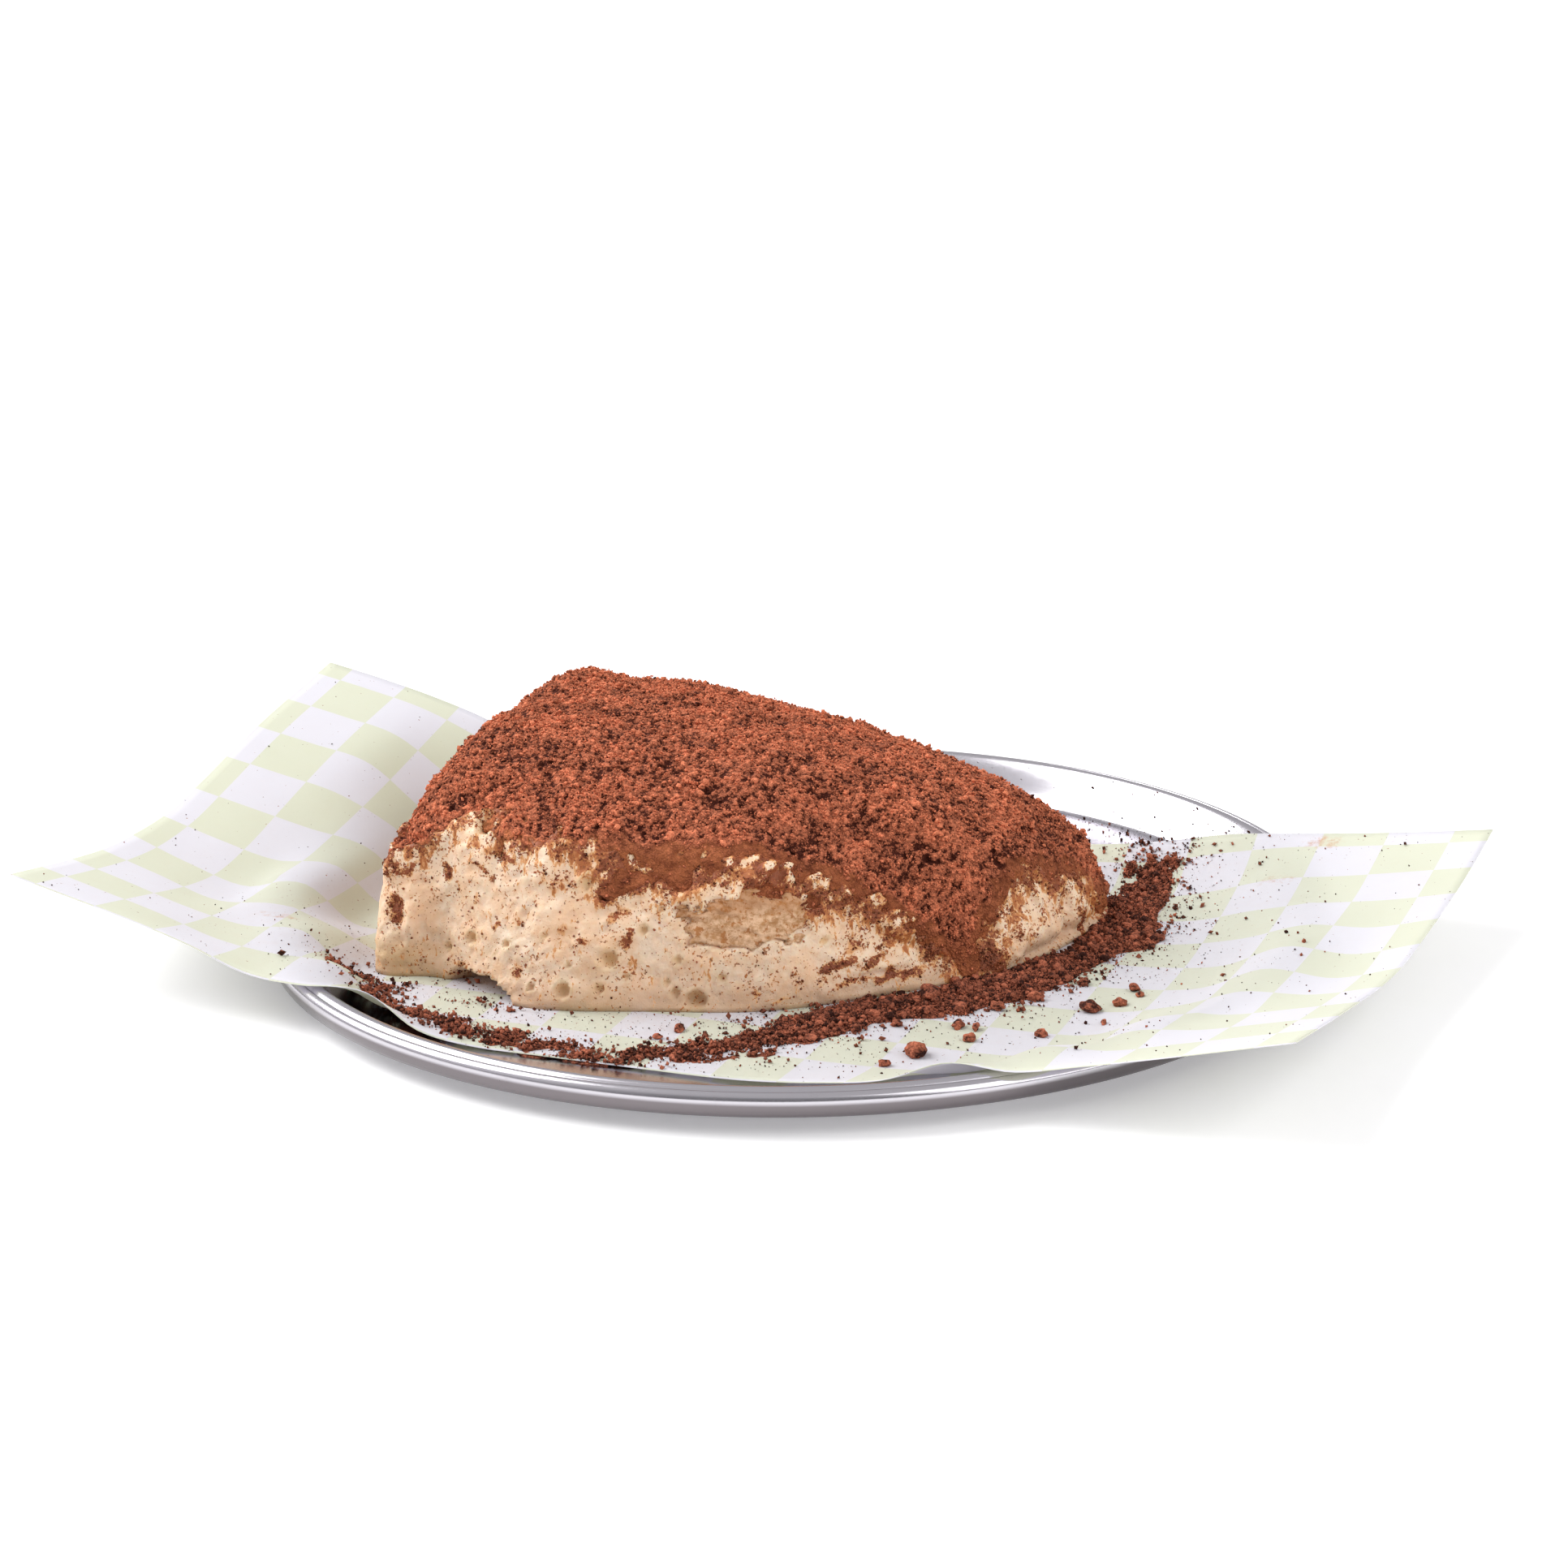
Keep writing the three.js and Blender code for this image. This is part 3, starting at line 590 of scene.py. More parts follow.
def top_height(along, across):
    """Height of the slice's plain top, which falls away from its ridge."""
    right = np.maximum(along - TOP["level_to"], 0)
    front = np.maximum(TOP["ridge"] - across, 0)
    back = np.maximum(across - TOP["ridge"], 0)
    return TOP["height"] - TOP["right"] * right**2 - TOP["front"] * front**2 - TOP["back"] * back**2


def slice_point(u, v):
    """A point of the slice's outside: v is 0 at the foot, 1 at the shoulder, 2 at the crown."""
    u, v = np.broadcast_arrays(u, v)
    station = station_at(u)
    foot, shoulder, high = station[..., 0:2], station[..., 2:4], station[..., 4]
    bulge, reach, ledge = (station[..., k] for k in (5, 6, 7))
    outward = foot - CROWN
    outward /= np.linalg.norm(outward, axis=-1, keepdims=True)
    up = np.minimum(v, 1)[..., None]
    wall = foot + (shoulder - foot) * up + outward * bulge[..., None] * np.sin(np.pi * up)
    inward = np.maximum(v - 1, 0)[..., None] ** 1.25
    level = shoulder + (CROWN - shoulder) * inward
    travelled = np.linalg.norm(shoulder - CROWN, axis=-1) * inward[..., 0]
    rounded = np.clip((travelled - np.maximum(ledge, 0)) / reach, 0, 1)
    rounding = np.sqrt(1 - (1 - rounded) ** 2)
    top = high + (top_height(level[..., 0], level[..., 1]) - high) * rounding
    return np.concatenate([np.where(up < 1, wall, level), np.where(v < 1, high * v, top)[..., None]], -1)


# The slice's outline measured once: u at even steps round it, the length of the way from
# foot to crown there, and v at even steps of that way.
ROUND_STEPS, WAY_STEPS = 1440, 400
round_u = np.linspace(0, 1, ROUND_STEPS + 1)
shoulder_ring = slice_point(round_u, 1.0)
round_length = np.concatenate([[0], np.cumsum(np.linalg.norm(np.diff(shoulder_ring, axis=0), axis=1))])
round_length /= round_length[-1]
way_v = np.linspace(0, 2, WAY_STEPS + 1)
ways = slice_point(round_u[:, None], way_v[None])
way_length = np.concatenate(
    [np.zeros((len(round_u), 1)), np.cumsum(np.linalg.norm(np.diff(ways, axis=1), axis=2), axis=1)], 1)
WHOLE_WAY = way_length[:, -1]
edge_v = np.interp(round_u, COCOA_EDGE[:, 0], COCOA_EDGE[:, 1])
EDGE_WAY = np.array([np.interp(v, way_v, row) for v, row in zip(edge_v, way_length)])
even_way = np.array([np.interp(np.linspace(0, row[-1], WAY_STEPS + 1), row, way_v) for row in way_length])


def v_up_the_side(u, way):
    """v at a distance up the side from the foot."""
    column = np.clip(u * ROUND_STEPS, 0, ROUND_STEPS - 0.001)
    i = column.astype(int)
    f = column - i
    whole = WHOLE_WAY[i] * (1 - f) + WHOLE_WAY[i + 1] * f
    row = np.clip(way / whole, 0, 0.99999) * WAY_STEPS
    j = row.astype(int)
    g = row - j
    low = even_way[i, j] * (1 - g) + even_way[i, j + 1] * g
    high = even_way[i + 1, j] * (1 - g) + even_way[i + 1, j + 1] * g
    return low * (1 - f) + high * f


TURN = np.array(Quaternion((0.6, 0.5, -0.4, 0.48)).normalized().to_matrix())


def chance(cells, seed):
    """A random number from 0 to 1 for each cell of a grid."""
    cells = cells.astype(np.int64).astype(np.uint32)
    mixed = cells[..., 0] * np.uint32(73856093) ^ cells[..., 1] * np.uint32(19349663)
    mixed = mixed ^ cells[..., 2] * np.uint32(83492791) ^ np.uint32(seed * 2654435761 % 2**32)
    mixed = (mixed ^ mixed >> np.uint32(15)) * np.uint32(2246822519)
    mixed = (mixed ^ mixed >> np.uint32(13)) * np.uint32(3266489917)
    return (mixed ^ mixed >> np.uint32(16)) / 2.0**32


def swell(points, size, seed, octaves=1):
    """Smooth random relief from -1 to 1 whose waves are `size` apart."""
    total = 0
    spots = points / size
    for octave in range(octaves):
        spots = spots @ TURN.T + 31.7
        cell = np.floor(spots)
        f = spots - cell
        f = f * f * f * (f * (f * 6 - 15) + 10)
        value = 0
        for corner in np.ndindex(2, 2, 2):
            share = np.prod(np.where(corner, f, 1 - f), axis=-1)
            value = value + share * chance(cell + corner, seed + octave)
        total = total + (2 * value - 1) / 2**octave
        spots = spots * 2
    return total / (2 - 2.0 ** (1 - octaves))


def lumps_relief(points, size, seed):
    """Rounded lumps `size` apart, 1 at their tops and 0 in the clefts between them."""
    spots = points / size
    cell = np.floor(spots)
    nearest = np.full(points.shape[:-1], 9.0)
    for step in np.ndindex(3, 3, 3):
        other = cell + np.array(step) - 1
        gap = spots - other
        for k in range(3):
            gap[..., k] -= chance(other, seed + 7 * k + 1)
        nearest = np.minimum(nearest, (gap * gap).sum(-1))
    return np.sqrt(np.clip(1 - nearest / 0.9, 0, 1))


def outward_normals(points, faces):
    """The direction straight out of a mesh at each of its points."""
    corners = points[faces]
    across = np.cross(corners[:, 1] - corners[:, 0], corners[:, 2] - corners[:, 0])
    total = np.stack([
        sum(np.bincount(faces[:, k], across[:, axis], len(points)) for k in range(3))
        for axis in range(3)
    ], -1)
    return total / np.maximum(np.linalg.norm(total, axis=1, keepdims=True), 1e-12)


# Cocoa pressed into the front of the cream: along, up, half width, half height, lean, strength.
PRESSED_COCOA = [
    (-51.1, 20.3, 1.8, 1.3, 0.0, 1.3),
    (-43.8, 21.5, 4.6, 1.0, -0.15, 1.0),
    (-38.6, 24.7, 3.8, 1.3, -0.4, 1.0),
    (-59.5, 20.8, 5.0, 1.6, 0.2, 0.9),
    (-63.3, 18.7, 1.4, 1.1, 0.0, 1.1),
    (-62.4, 12.3, 3.0, 4.4, 0.0, 1.15),
    (-58.0, 18.0, 4.0, 1.5, 0.0, 0.5),
    (-48.2, 18.7, 2.0, 0.8, 0.0, 0.5),
    (-25.8, 21.8, 3.0, 1.1, -0.2, 0.8),
    (-30.0, 23.5, 4.0, 1.0, -0.3, 0.7),
    (-43.8, 15.9, 1.8, 1.3, 0.0, 0.7),
    (-39.1, 13.5, 0.9, 2.2, -0.5, 1.0),
    (-34.4, 14.8, 1.8, 1.8, 0.0, 0.6),
    (-31.6, 17.5, 0.9, 1.8, 0.0, 0.7),
    (-25.5, 13.8, 1.9, 1.7, -0.4, 0.7),
    (-21.1, 11.2, 2.2, 1.9, 0.0, 0.75),
    (-13.6, 12.6, 1.4, 2.4, 0.3, 1.05),
    (-15.5, 17.0, 1.1, 2.6, 0.4, 0.75),
    (-11.7, 7.9, 1.8, 1.6, 0.0, 0.85),
    (-33.2, 5.9, 2.3, 1.5, 0.0, 0.95),
    (-40.2, 7.3, 1.8, 0.8, 0.0, 0.6),
    (-47.0, 4.0, 5.0, 1.0, 0.0, 0.85),
    # This patch in the hollow is partly cocoa pressed there and partly painted shade of the recess.
    (-46.0, 1.2, 6.0, 1.7, 0.0, 1.1),
    (-55.0, 3.2, 4.0, 1.3, 0.0, 0.5),
    (-14.5, 22.0, 4.4, 2.2, 0.1, 1.5),
    (-18.2, 19.9, 1.8, 1.5, 0.0, 1.3),
    (-4.6, 22.2, 2.6, 1.6, 0.0, 1.2),
    (-10.4, 21.6, 1.6, 1.6, 0.0, 0.9),
    (9.8, 19.9, 4.4, 1.4, -0.35, 1.4),
    (15.6, 17.2, 2.4, 1.2, -0.3, 1.2),
    (3.0, 22.8, 1.2, 1.2, 0.0, 1.0),
    (8.0, 16.8, 7.0, 1.8, 0.0, 0.55),
    (15.6, 14.5, 1.0, 2.0, 0.0, 0.65),
    (22.9, 9.6, 1.8, 2.4, 0.0, 0.8),
    (22.0, 6.6, 2.2, 1.3, 0.2, 1.2),
    (26.0, 6.0, 3.0, 1.2, 0.15, 1.1),
    (27.6, 9.0, 2.2, 1.6, 0.3, 0.9),
    (16.5, 4.5, 2.0, 2.8, 0.0, 0.62),
    (20.6, 4.6, 1.8, 3.0, 0.2, 0.66),
    (24.0, 2.4, 5.5, 1.1, 0.1, 0.85),
    (30.0, 2.6, 4.5, 1.4, 0.1, 1.1),
    (33.5, 6.6, 2.5, 2.2, 0.3, 1.1),
    (9.4, 3.2, 1.5, 1.1, 0.0, 1.0),
    (13.5, 0.8, 4.0, 0.9, 0.0, 0.8),
    (-3.3, 15.7, 1.0, 1.0, 0.0, 0.5),
    (10.8, 6.7, 1.0, 0.5, 0.0, 0.5),
]
# Cocoa on the right-hand end: across, up, half width, half height, lean, strength.
COCOA_ON_END = [
    (-12.0, 2.4, 3.4, 2.4, 0.2, 1.3),
    (-7.5, 5.2, 3.5, 1.5, 0.1, 0.75),
    (-1.5, 6.2, 4.5, 1.8, 0.0, 0.65),
    (5.0, 7.0, 3.5, 1.8, 0.0, 0.7),
    (1.0, 13.0, 5.0, 1.6, 0.0, 0.8),
    (9.0, 11.0, 2.2, 2.4, 0.0, 0.9),
    (13.0, 3.0, 1.6, 4.0, 0.0, 1.2),
]
# Burst bubbles and dents in the front: along, up, radius.
BUBBLES = [
    (-43.7, 30.2, 1.7), (-21.6, 22.2, 1.3), (-16.4, 9.0, 1.6), (-44.9, 9.3, 1.1), (-23.4, 7.8, 0.6),
    (-24.2, 3.2, 1.5), (-30.4, 3.3, 0.8), (-17.8, 3.6, 0.9), (-13.1, 6.0, 0.7), (-10.6, 14.4, 0.9),
    (-4.2, 9.1, 0.8), (-6.1, 4.9, 0.7), (-4.5, 3.0, 1.0), (-0.8, 1.7, 1.9), (-51.0, 6.0, 0.9),
    (-36.5, 10.0, 0.8), (-28.5, 12.5, 0.6), (-8.0, 18.0, 0.7), (19.0, 11.0, 0.7), (3.5, 6.0, 0.8),
]
# Spots near the cocoa's edge where the cream shows through it: along, up.
BARE_SPOTS = [
    (-6.5, 27.3), (-2.4, 27.0), (2.0, 25.6), (5.5, 25.5), (8.6, 24.2), (11.4, 23.7), (15.6, 21.5),
    (16.7, 20.3), (24.9, 16.8), (25.9, 15.8), (28.0, 13.7), (29.2, 12.1), (31.3, 11.9), (34.1, 10.6),
    (-22.0, 29.0), (-36.0, 31.0), (-29.0, 30.5), (-47.8, 27.6), (-46.4, 28.4), (-44.9, 29.2),
    (-43.6, 28.4), (-42.0, 28.6),
]
DEEP_INSIDE = 30                 # the cocoa's cover at the crown and under the slice
HOLLOW = {"from": -52.5, "to": -32.0, "high": 3.3, "deep": 6.5}


def cocoa_cover(points, u, way):
    """How far in millimetres a place is inside the cocoa's uneven edge; below 0 the cream is bare."""
    inside = way - np.interp(u, round_u, EDGE_WAY)
    ragged = 1.8 * swell(points, 7.0, 3, 2) + 2.2 * swell(points, 2.8, 5, 2) + 1.5 * swell(points, 1.2, 7)
    drips = swell(points * [0.5, 1.0, 0.3], 1.9, 27, 2)
    ragged = ragged + 3.0 * drips * smooth(points[..., 0], 40, 44)
    pale_spots = smooth(swell(points, 2.4, 9, 2), 0.35, 0.75) * smooth(inside, 9, 2)
    front = (points[..., 1] < 0) & (points[..., 0] < 36)
    ragged = ragged - 4.5 * pale_spots * (points[..., 1] < 20)
    for a, b in BARE_SPOTS:
        ragged = ragged - 7 * blot(points[..., 0], points[..., 2], a, b, 0.9, 0.6) * front
    tongues = 0
    for a, b, wide, high, lean, strength in PRESSED_COCOA:
        if strength >= 1.2:
            tongues = tongues + 5.0 * strength * blot(points[..., 0], points[..., 2], a, b, wide, high, lean)
    return inside + ragged * smooth(inside, 14, 4) + np.where(front, tongues, 0)


def wandered(points):
    """The same places shifted a little at random, which makes plain marks uneven."""
    slow = np.stack([swell(points, 3.6, seed) for seed in (201, 203, 205)], -1)
    quick = np.stack([swell(points, 1.3, seed) for seed in (207, 209, 211)], -1)
    return points + 1.5 * slow + 0.6 * quick


def cocoa_smeared(points):
    """How much cocoa is pressed or smeared on the bare cream, 0 to about 1."""
    along, across, up = (wandered(points)[..., k] for k in range(3))
    front = smooth(across, 4, -4) * smooth(along, 42, 38)
    total = 0
    for a, b, wide, high, lean, strength in PRESSED_COCOA:
        total = np.maximum(total, strength * blot(along, up, a, b, wide, high, lean) * front)
    end = smooth(along, 36, 40)
    for a, b, wide, high, lean, strength in COCOA_ON_END:
        total = np.maximum(total, strength * blot(across, up, a, b, wide, high, lean) * end)
    hidden = 1 - np.maximum(front, end)
    large = smooth(swell(points, 9, 41, 2), 0.1, 0.8) * 0.9
    small = smooth(swell(points, 3.5, 43, 2), 0.3, 0.9) * 0.6
    return np.maximum(total, (large + small) * hidden)


FINGERS = {
    "ladyfinger_upper": {"along": 6, "up": 15.5, "wide": 24, "thick": 11},
    "ladyfinger_lower_left": {"along": -43, "up": 5.2, "wide": 25, "thick": 10},
    "ladyfinger_lower_right": {"along": 38, "up": 3.6, "wide": 26, "thick": 6.8},
}


def finger_opening(points):
    """1 where the cream's side is open over a sponge finger's end, 0 where it is closed."""
    along, across, up = (points[..., k] for k in range(3))
    ragged = 0.3 * swell(points, 3.0, 61, 2) + 0.16 * swell(points, 1.2, 63)
    opening = 0
    for name, finger in FINGERS.items():
        x = np.abs(along - finger["along"]) / (finger["wide"] / 2 - 1)
        z = np.abs(up - finger["up"]) / (finger["thick"] / 2 - 0.6)
        reach = (x**2.6 + z**2.6) ** (1 / 2.6) + ragged
        shown = smooth(across, 5, 15)
        if name == "ladyfinger_upper":
            shown = np.maximum(shown, smooth(across, 0, -10))
        opening = np.maximum(opening, smooth(reach, 1.02, 0.86) * shown)
    return opening


def cream_relief(points, cover):
    """How far the cream stands out of the slice's plain outline, in millimetres."""
    along, across, up = (points[..., k] for k in range(3))
    relief = 0.9 * swell(points, 12, 11, 2) + 0.6 * swell(points, 5, 13, 2) + 0.3 * swell(points, 1.5, 17, 2)
    relief = relief - 0.35 * smooth(lumps_relief(points, 3.4, 18), 0.35, 0.0)
    pitted = smooth(swell(points, 7, 25), -0.2, 0.5)
    relief = relief - 0.3 * smooth(lumps_relief(points, 2.9, 26), 0.93, 0.99) * pitted
    torn = smooth(cover, -9, -3) * smooth(cover, 2.5, -0.5)
    relief = relief + torn * (0.9 * swell(points, 3.2, 19, 2) + 0.25)
    folds = points @ np.array([[0.16, 0, 0], [0, 0.16, 0], [-0.1, 0, 1.0]])
    dragged = smooth(along, 18, 26) * smooth(along, 44, 36) * smooth(across, 0, -8)
    relief = relief + dragged * 0.6 * swell(folds, 1.7, 23, 1)
    front = across < FRONT_EDGE
    ridge = blot(along, up, -58.4, 10.5, 1.3, 5.0)
    recess = blot(along, up, -62.2, 12.5, 3.0, 4.8)
    relief = relief + np.where(front, 1.3 * ridge - 1.2 * recess, 0)
    end = smooth(along, 40, 44)
    drips = swell(points * [0.5, 1.0, 0.3], 1.9, 27, 2)
    lobe = 0.8 * blot(across, up, -1, 5.5, 7, 4)
    cleft = 1.8 * np.exp(-(((across - 9) / 1.7) ** 2)) * smooth(up, 12, 7)
    undercut = 1.6 * smooth(up, 4, 0.5) * smooth(across, -8, -3)
    relief = relief + end * (0.9 * drips + lobe - cleft - undercut)
    for a, b, radius in BUBBLES:
        gap = np.hypot(along - a, up - b) / radius
        dent = 1.15 * radius * np.sqrt(np.clip(1 - gap**2, 0, 1))
        lip = 0.12 * np.exp(-(((gap - 1.15) / 0.25) ** 2))
        relief = relief - np.where(front, dent - lip, 0)
    relief = relief - 0.9 * finger_opening(points)
    return relief * smooth(up, -0.2, 1.5) - 1.45 * smooth(cover, -0.5, 5.0)


def cream_mesh():
    """Rings round the slice, close together where the cream is bare, then up under the cocoa."""
    sides, bare_rings, top_rings = 880, 62, 9
    u = np.interp(np.arange(sides) / sides, round_length, round_u)
    edge = np.interp(u, round_u, EDGE_WAY)
    whole = np.interp(u, round_u, WHOLE_WAY)
    bare_top = np.maximum(edge, 7) + 9
    shares = np.linspace(0, 1, bare_rings)[:, None]
    crowded = np.linspace(0, 1, top_rings + 2)[1:-1, None]
    way = np.concatenate([shares * bare_top, bare_top + crowded * (whole - bare_top)])
    v = v_up_the_side(np.broadcast_to(u, way.shape), way)
    plain = slice_point(u[None], v)
    points = np.concatenate([plain.reshape(-1, 3), [[*CROWN, top_height(*CROWN)], [*CROWN, 0]]])
    rings = len(way)
    faces = np.concatenate([
        grid_faces(rings, sides, closed=True),
        fan_faces((rings - 1) * sides + np.arange(sides), rings * sides),
        fan_faces(np.arange(sides)[::-1], rings * sides + 1),
    ])
    normals = outward_normals(points, faces)
    all_u = np.concatenate([np.tile(u, rings), [0, 0]])
    all_way = np.append(way.ravel(), [0, 0])
    cover = cocoa_cover(points, all_u, all_way)
    cover[-2:] = DEEP_INSIDE
    relief = cream_relief(points, cover)
    relief[-1] = 0
    moved = points + normals * relief[:, None]
    along, up = points[:, 0], points[:, 2]
    inside = smooth(along, HOLLOW["from"], HOLLOW["from"] + 5) * smooth(along, HOLLOW["to"], HOLLOW["to"] - 9)
    ceiling = HOLLOW["high"] * inside + 0.5 * swell(points, 3.0, 29, 2) * inside
    front = points[:, 1] < FRONT_EDGE
    hollow = np.where(front, smooth(up, ceiling, ceiling - 0.7) * np.minimum(1, inside * 3), 0)
    inward = np.append(CROWN, 0) - points
    inward /= np.maximum(np.linalg.norm(inward, axis=1, keepdims=True), 1)
    moved += inward * [1, 1, 0] * (HOLLOW["deep"] * hollow * smooth(ceiling, 0.2, 1.5))[:, None]
    moved[:, 2] = np.maximum(moved[:, 2], FOOT_LEVEL)
    moved[:sides, 2] = FOOT_LEVEL
    moved[-1, 2] = FOOT_LEVEL
    return points, moved, faces, cover


def cream_finish():
    """Moist cream under streaks, smears and flecks of cocoa, which thin out to a brown tint; with painted
    shade towards the foot and in the bubbles, and a painted warm glow at the lower left.
    """
    even = {
        "Roughness": 0.42,
        "Specular IOR Level": 0.4,
        "Subsurface Weight": 0.35,
        "Subsurface Radius": (1.0, 0.62, 0.36),
        "Subsurface Scale": 0.0022,
    }
    look, start = finish_named("mascarpone_cream", even)
    place = start.node("TexCoord", output="Object")
    cloud = grain(start, 9, 3)
    mottle = (cloud + grain(start, 2.6, 4, 0.6) - 0.5).rise(0.25, 0.75)
    plain = mottle.between((0.97, 0.745, 0.555), (0.92, 0.615, 0.39))
    # Painted warm glow of light through the cream at the lower left, and in the bubbles a yellow tint
    # darkened as painted shade inside the pits.
    plain = mark(start, "yolk").between(plain, (0.82, 0.57, 0.28))
    # Painted shade towards the foot, with a little random tone.
    plain = mark(start, "wet").between(plain, (0.60, 0.385, 0.235))
    turned = start.node(
        "Mapping", values={"Vector": place, "Rotation": (0, 0.6, -0.38), "Scale": (1.0, 1.0, 0.4)})
    drag = start.node("TexNoise", values={"Vector": turned, "Scale": 700, "Detail": 4, "Roughness": 0.62})
    faint = start.node("TexNoise", values={"Vector": turned, "Scale": 260, "Detail": 5, "Roughness": 0.7})
    cocoa = mark(start, "cocoa")
    rough_edge = grain(start, 1.3, 5, 0.75)
    edging = mark(start, "edging")
    streak = (drag * 0.55 + faint * 0.45 + edging * 0.135).rise(0.56, 0.71) * 0.55
    broken = grain(start, 0.5, 2, 0.6) * 0.45 + rough_edge * 0.55
    covered = (broken - 0.70 + cocoa * 0.29).rise(-0.01, 0.045)
    halo = (cocoa + (grain(start, 2.4, 4, 0.7) - 0.5) * 1.2).rise(0.3, 1.0) * 0.24
    swarms = grain(start, 5.0, 3, 0.6).rise(0.46, 0.68)
    flecks = (grain(start, 0.6, 3, 0.6) + edging * 0.08 + swarms * 0.07).rise(0.64, 0.69)
    flecks = flecks * (0.45 + edging * 0.4)
    amount = (covered * (0.4 + cocoa * 0.4)).larger(streak).larger(halo).larger(flecks)
    tint = start.node("ValToRGB", {"stops": [
        (0.0, (0.92, 0.66, 0.42)), (0.20, (0.80, 0.40, 0.16)), (0.42, (0.56, 0.20, 0.06)),
        (0.68, (0.38, 0.10, 0.03)), (1.0, (0.20, 0.05, 0.018)),
    ]}, {"Fac": amount})
    colour = amount.rise(0.02, 0.18).between(plain, tint)
    freckles = (grain(start, 0.75, 1, 0.4) + swarms * 0.07).rise(0.715, 0.74)
    colour = (freckles * 0.85).between(colour, (0.33, 0.11, 0.035))
    height = grain(start, 1.3, 6, 0.65) + amount * grain(start, 0.5, 2) * 0.8
    bump = start.node("Bump", values={"Strength": 0.55, "Distance": 0.0006, "Height": height})
    feed(look, {"Base Color": colour, "Normal": bump})
    return look


cream_plain, cream_points, cream_faces, cream_cover = cream_mesh()
cream_smeared = np.maximum(cocoa_smeared(cream_plain), smooth(cream_cover, -2.6, 0.6))
cream_edging = smooth(cream_cover, -11, 0)
along, across, up = cream_plain.T
# Painted warm glow at the lower left, and painted shade inside the bubbles.
cream_glow_and_pit_shade = smooth(up, 9, 2) * smooth(along, -48, -62) * 0.8
for a, b, radius in BUBBLES:
    cream_glow_and_pit_shade = np.maximum(cream_glow_and_pit_shade, 0.9 * blot(along, up, a, b, radius, radius) * (across < FRONT_EDGE))
# Painted shade towards the foot, where less light reaches, with a little random tone.
cream_foot_shade_and_tone = smooth(up, 6, 0) * 0.75 + 0.15 * swell(cream_plain, 6, 213, 2)
part_piece(
    "mascarpone_cream", on_table(cream_points), cream_faces, cream_finish(), "cream", "cream",
    cocoa=cream_smeared, edging=cream_edging, yolk=cream_glow_and_pit_shade, wet=np.clip(cream_foot_shade_and_tone, 0, 1),
)


# ---------- Sponge fingers ----------
# Long sponge biscuits soaked in coffee, laid across the slice inside the cream. The knife
# has cut them at the front and back, where their porous crumb shows through the cream.

cream_tree = BVHTree.FromPolygons(cream_points.tolist(), cream_faces.tolist())


def finger_mesh(name, finger, shown_front, shown_back):
    """A bar with rounded sides whose ends follow the cream's own surface."""
    sides, rings, bars = 84, 14, 40
    squareness = 2.6
    angle = np.arange(sides) / sides * 2 * np.pi
    shape = np.stack([
        np.sign(np.cos(angle)) * np.abs(np.cos(angle)) ** (2 / squareness) * finger["wide"] / 2,
        np.sign(np.sin(angle)) * np.abs(np.sin(angle)) ** (2 / squareness) * finger["thick"] / 2,
    ], 1)
    middle = np.array([finger["along"], finger["up"]])
    share = np.linspace(0, 1, rings + 1)[1:]
    disc = middle + share[:, None, None] * shape[None]
    ends = []
    for side, shown in ((-1, shown_front), (1, shown_back)):
        places = np.concatenate([[middle], disc.reshape(-1, 2)])
        depth = []
        for x, z in places:
            hit = cream_tree.ray_cast(Vector((x, side * 90, max(z, 0.1))), Vector((0, -side, 0)))[0]
            depth.append(hit.y if hit else side * 20)
        spots = np.stack([places[:, 0], np.array(depth), np.maximum(places[:, 1], -0.3)], 1)
        porous = 0.55 * lumps_relief(spots, 2.1, 71) + 0.4 * swell(spots * [0.6, 1, 1.6], 1.8, 73, 2)
        spots[:, 1] += side * (shown(spots) + porous * 0.9)
        ends.append(spots)
    front, back = ends
    centre_front, centre_back = front[:1], back[:1]
    front = front[1:].reshape(rings, sides, 3)
    back = back[1:].reshape(rings, sides, 3)
    t = np.linspace(0, 1, bars + 1)[1:-1, None, None]
    along_bar = front[-1][None] * (1 - t) + back[-1][None] * t
    loops = np.concatenate([front, along_bar, back[::-1]])
    points = np.concatenate([loops.reshape(-1, 3), centre_front, centre_back])
    last = (len(loops) - 1) * sides
    faces = np.concatenate([
        grid_faces(len(loops), sides, closed=True),
        fan_faces(np.arange(sides)[::-1], len(points) - 2),
        fan_faces(last + np.arange(sides), len(points) - 1),
    ])
    if name == "ladyfinger_lower_right":
        inside_end = np.interp(points[:, 1], [-17, 2, 31], [40, 50, 53]) - 1.8
        out_at_foot = 3.4 * blot(points[:, 1], points[:, 2], -6.3, 0.5, 2.6, 3.0)
        points[:, 0] = np.minimum(points[:, 0], inside_end + out_at_foot)
    return points, faces[:, ::-1]


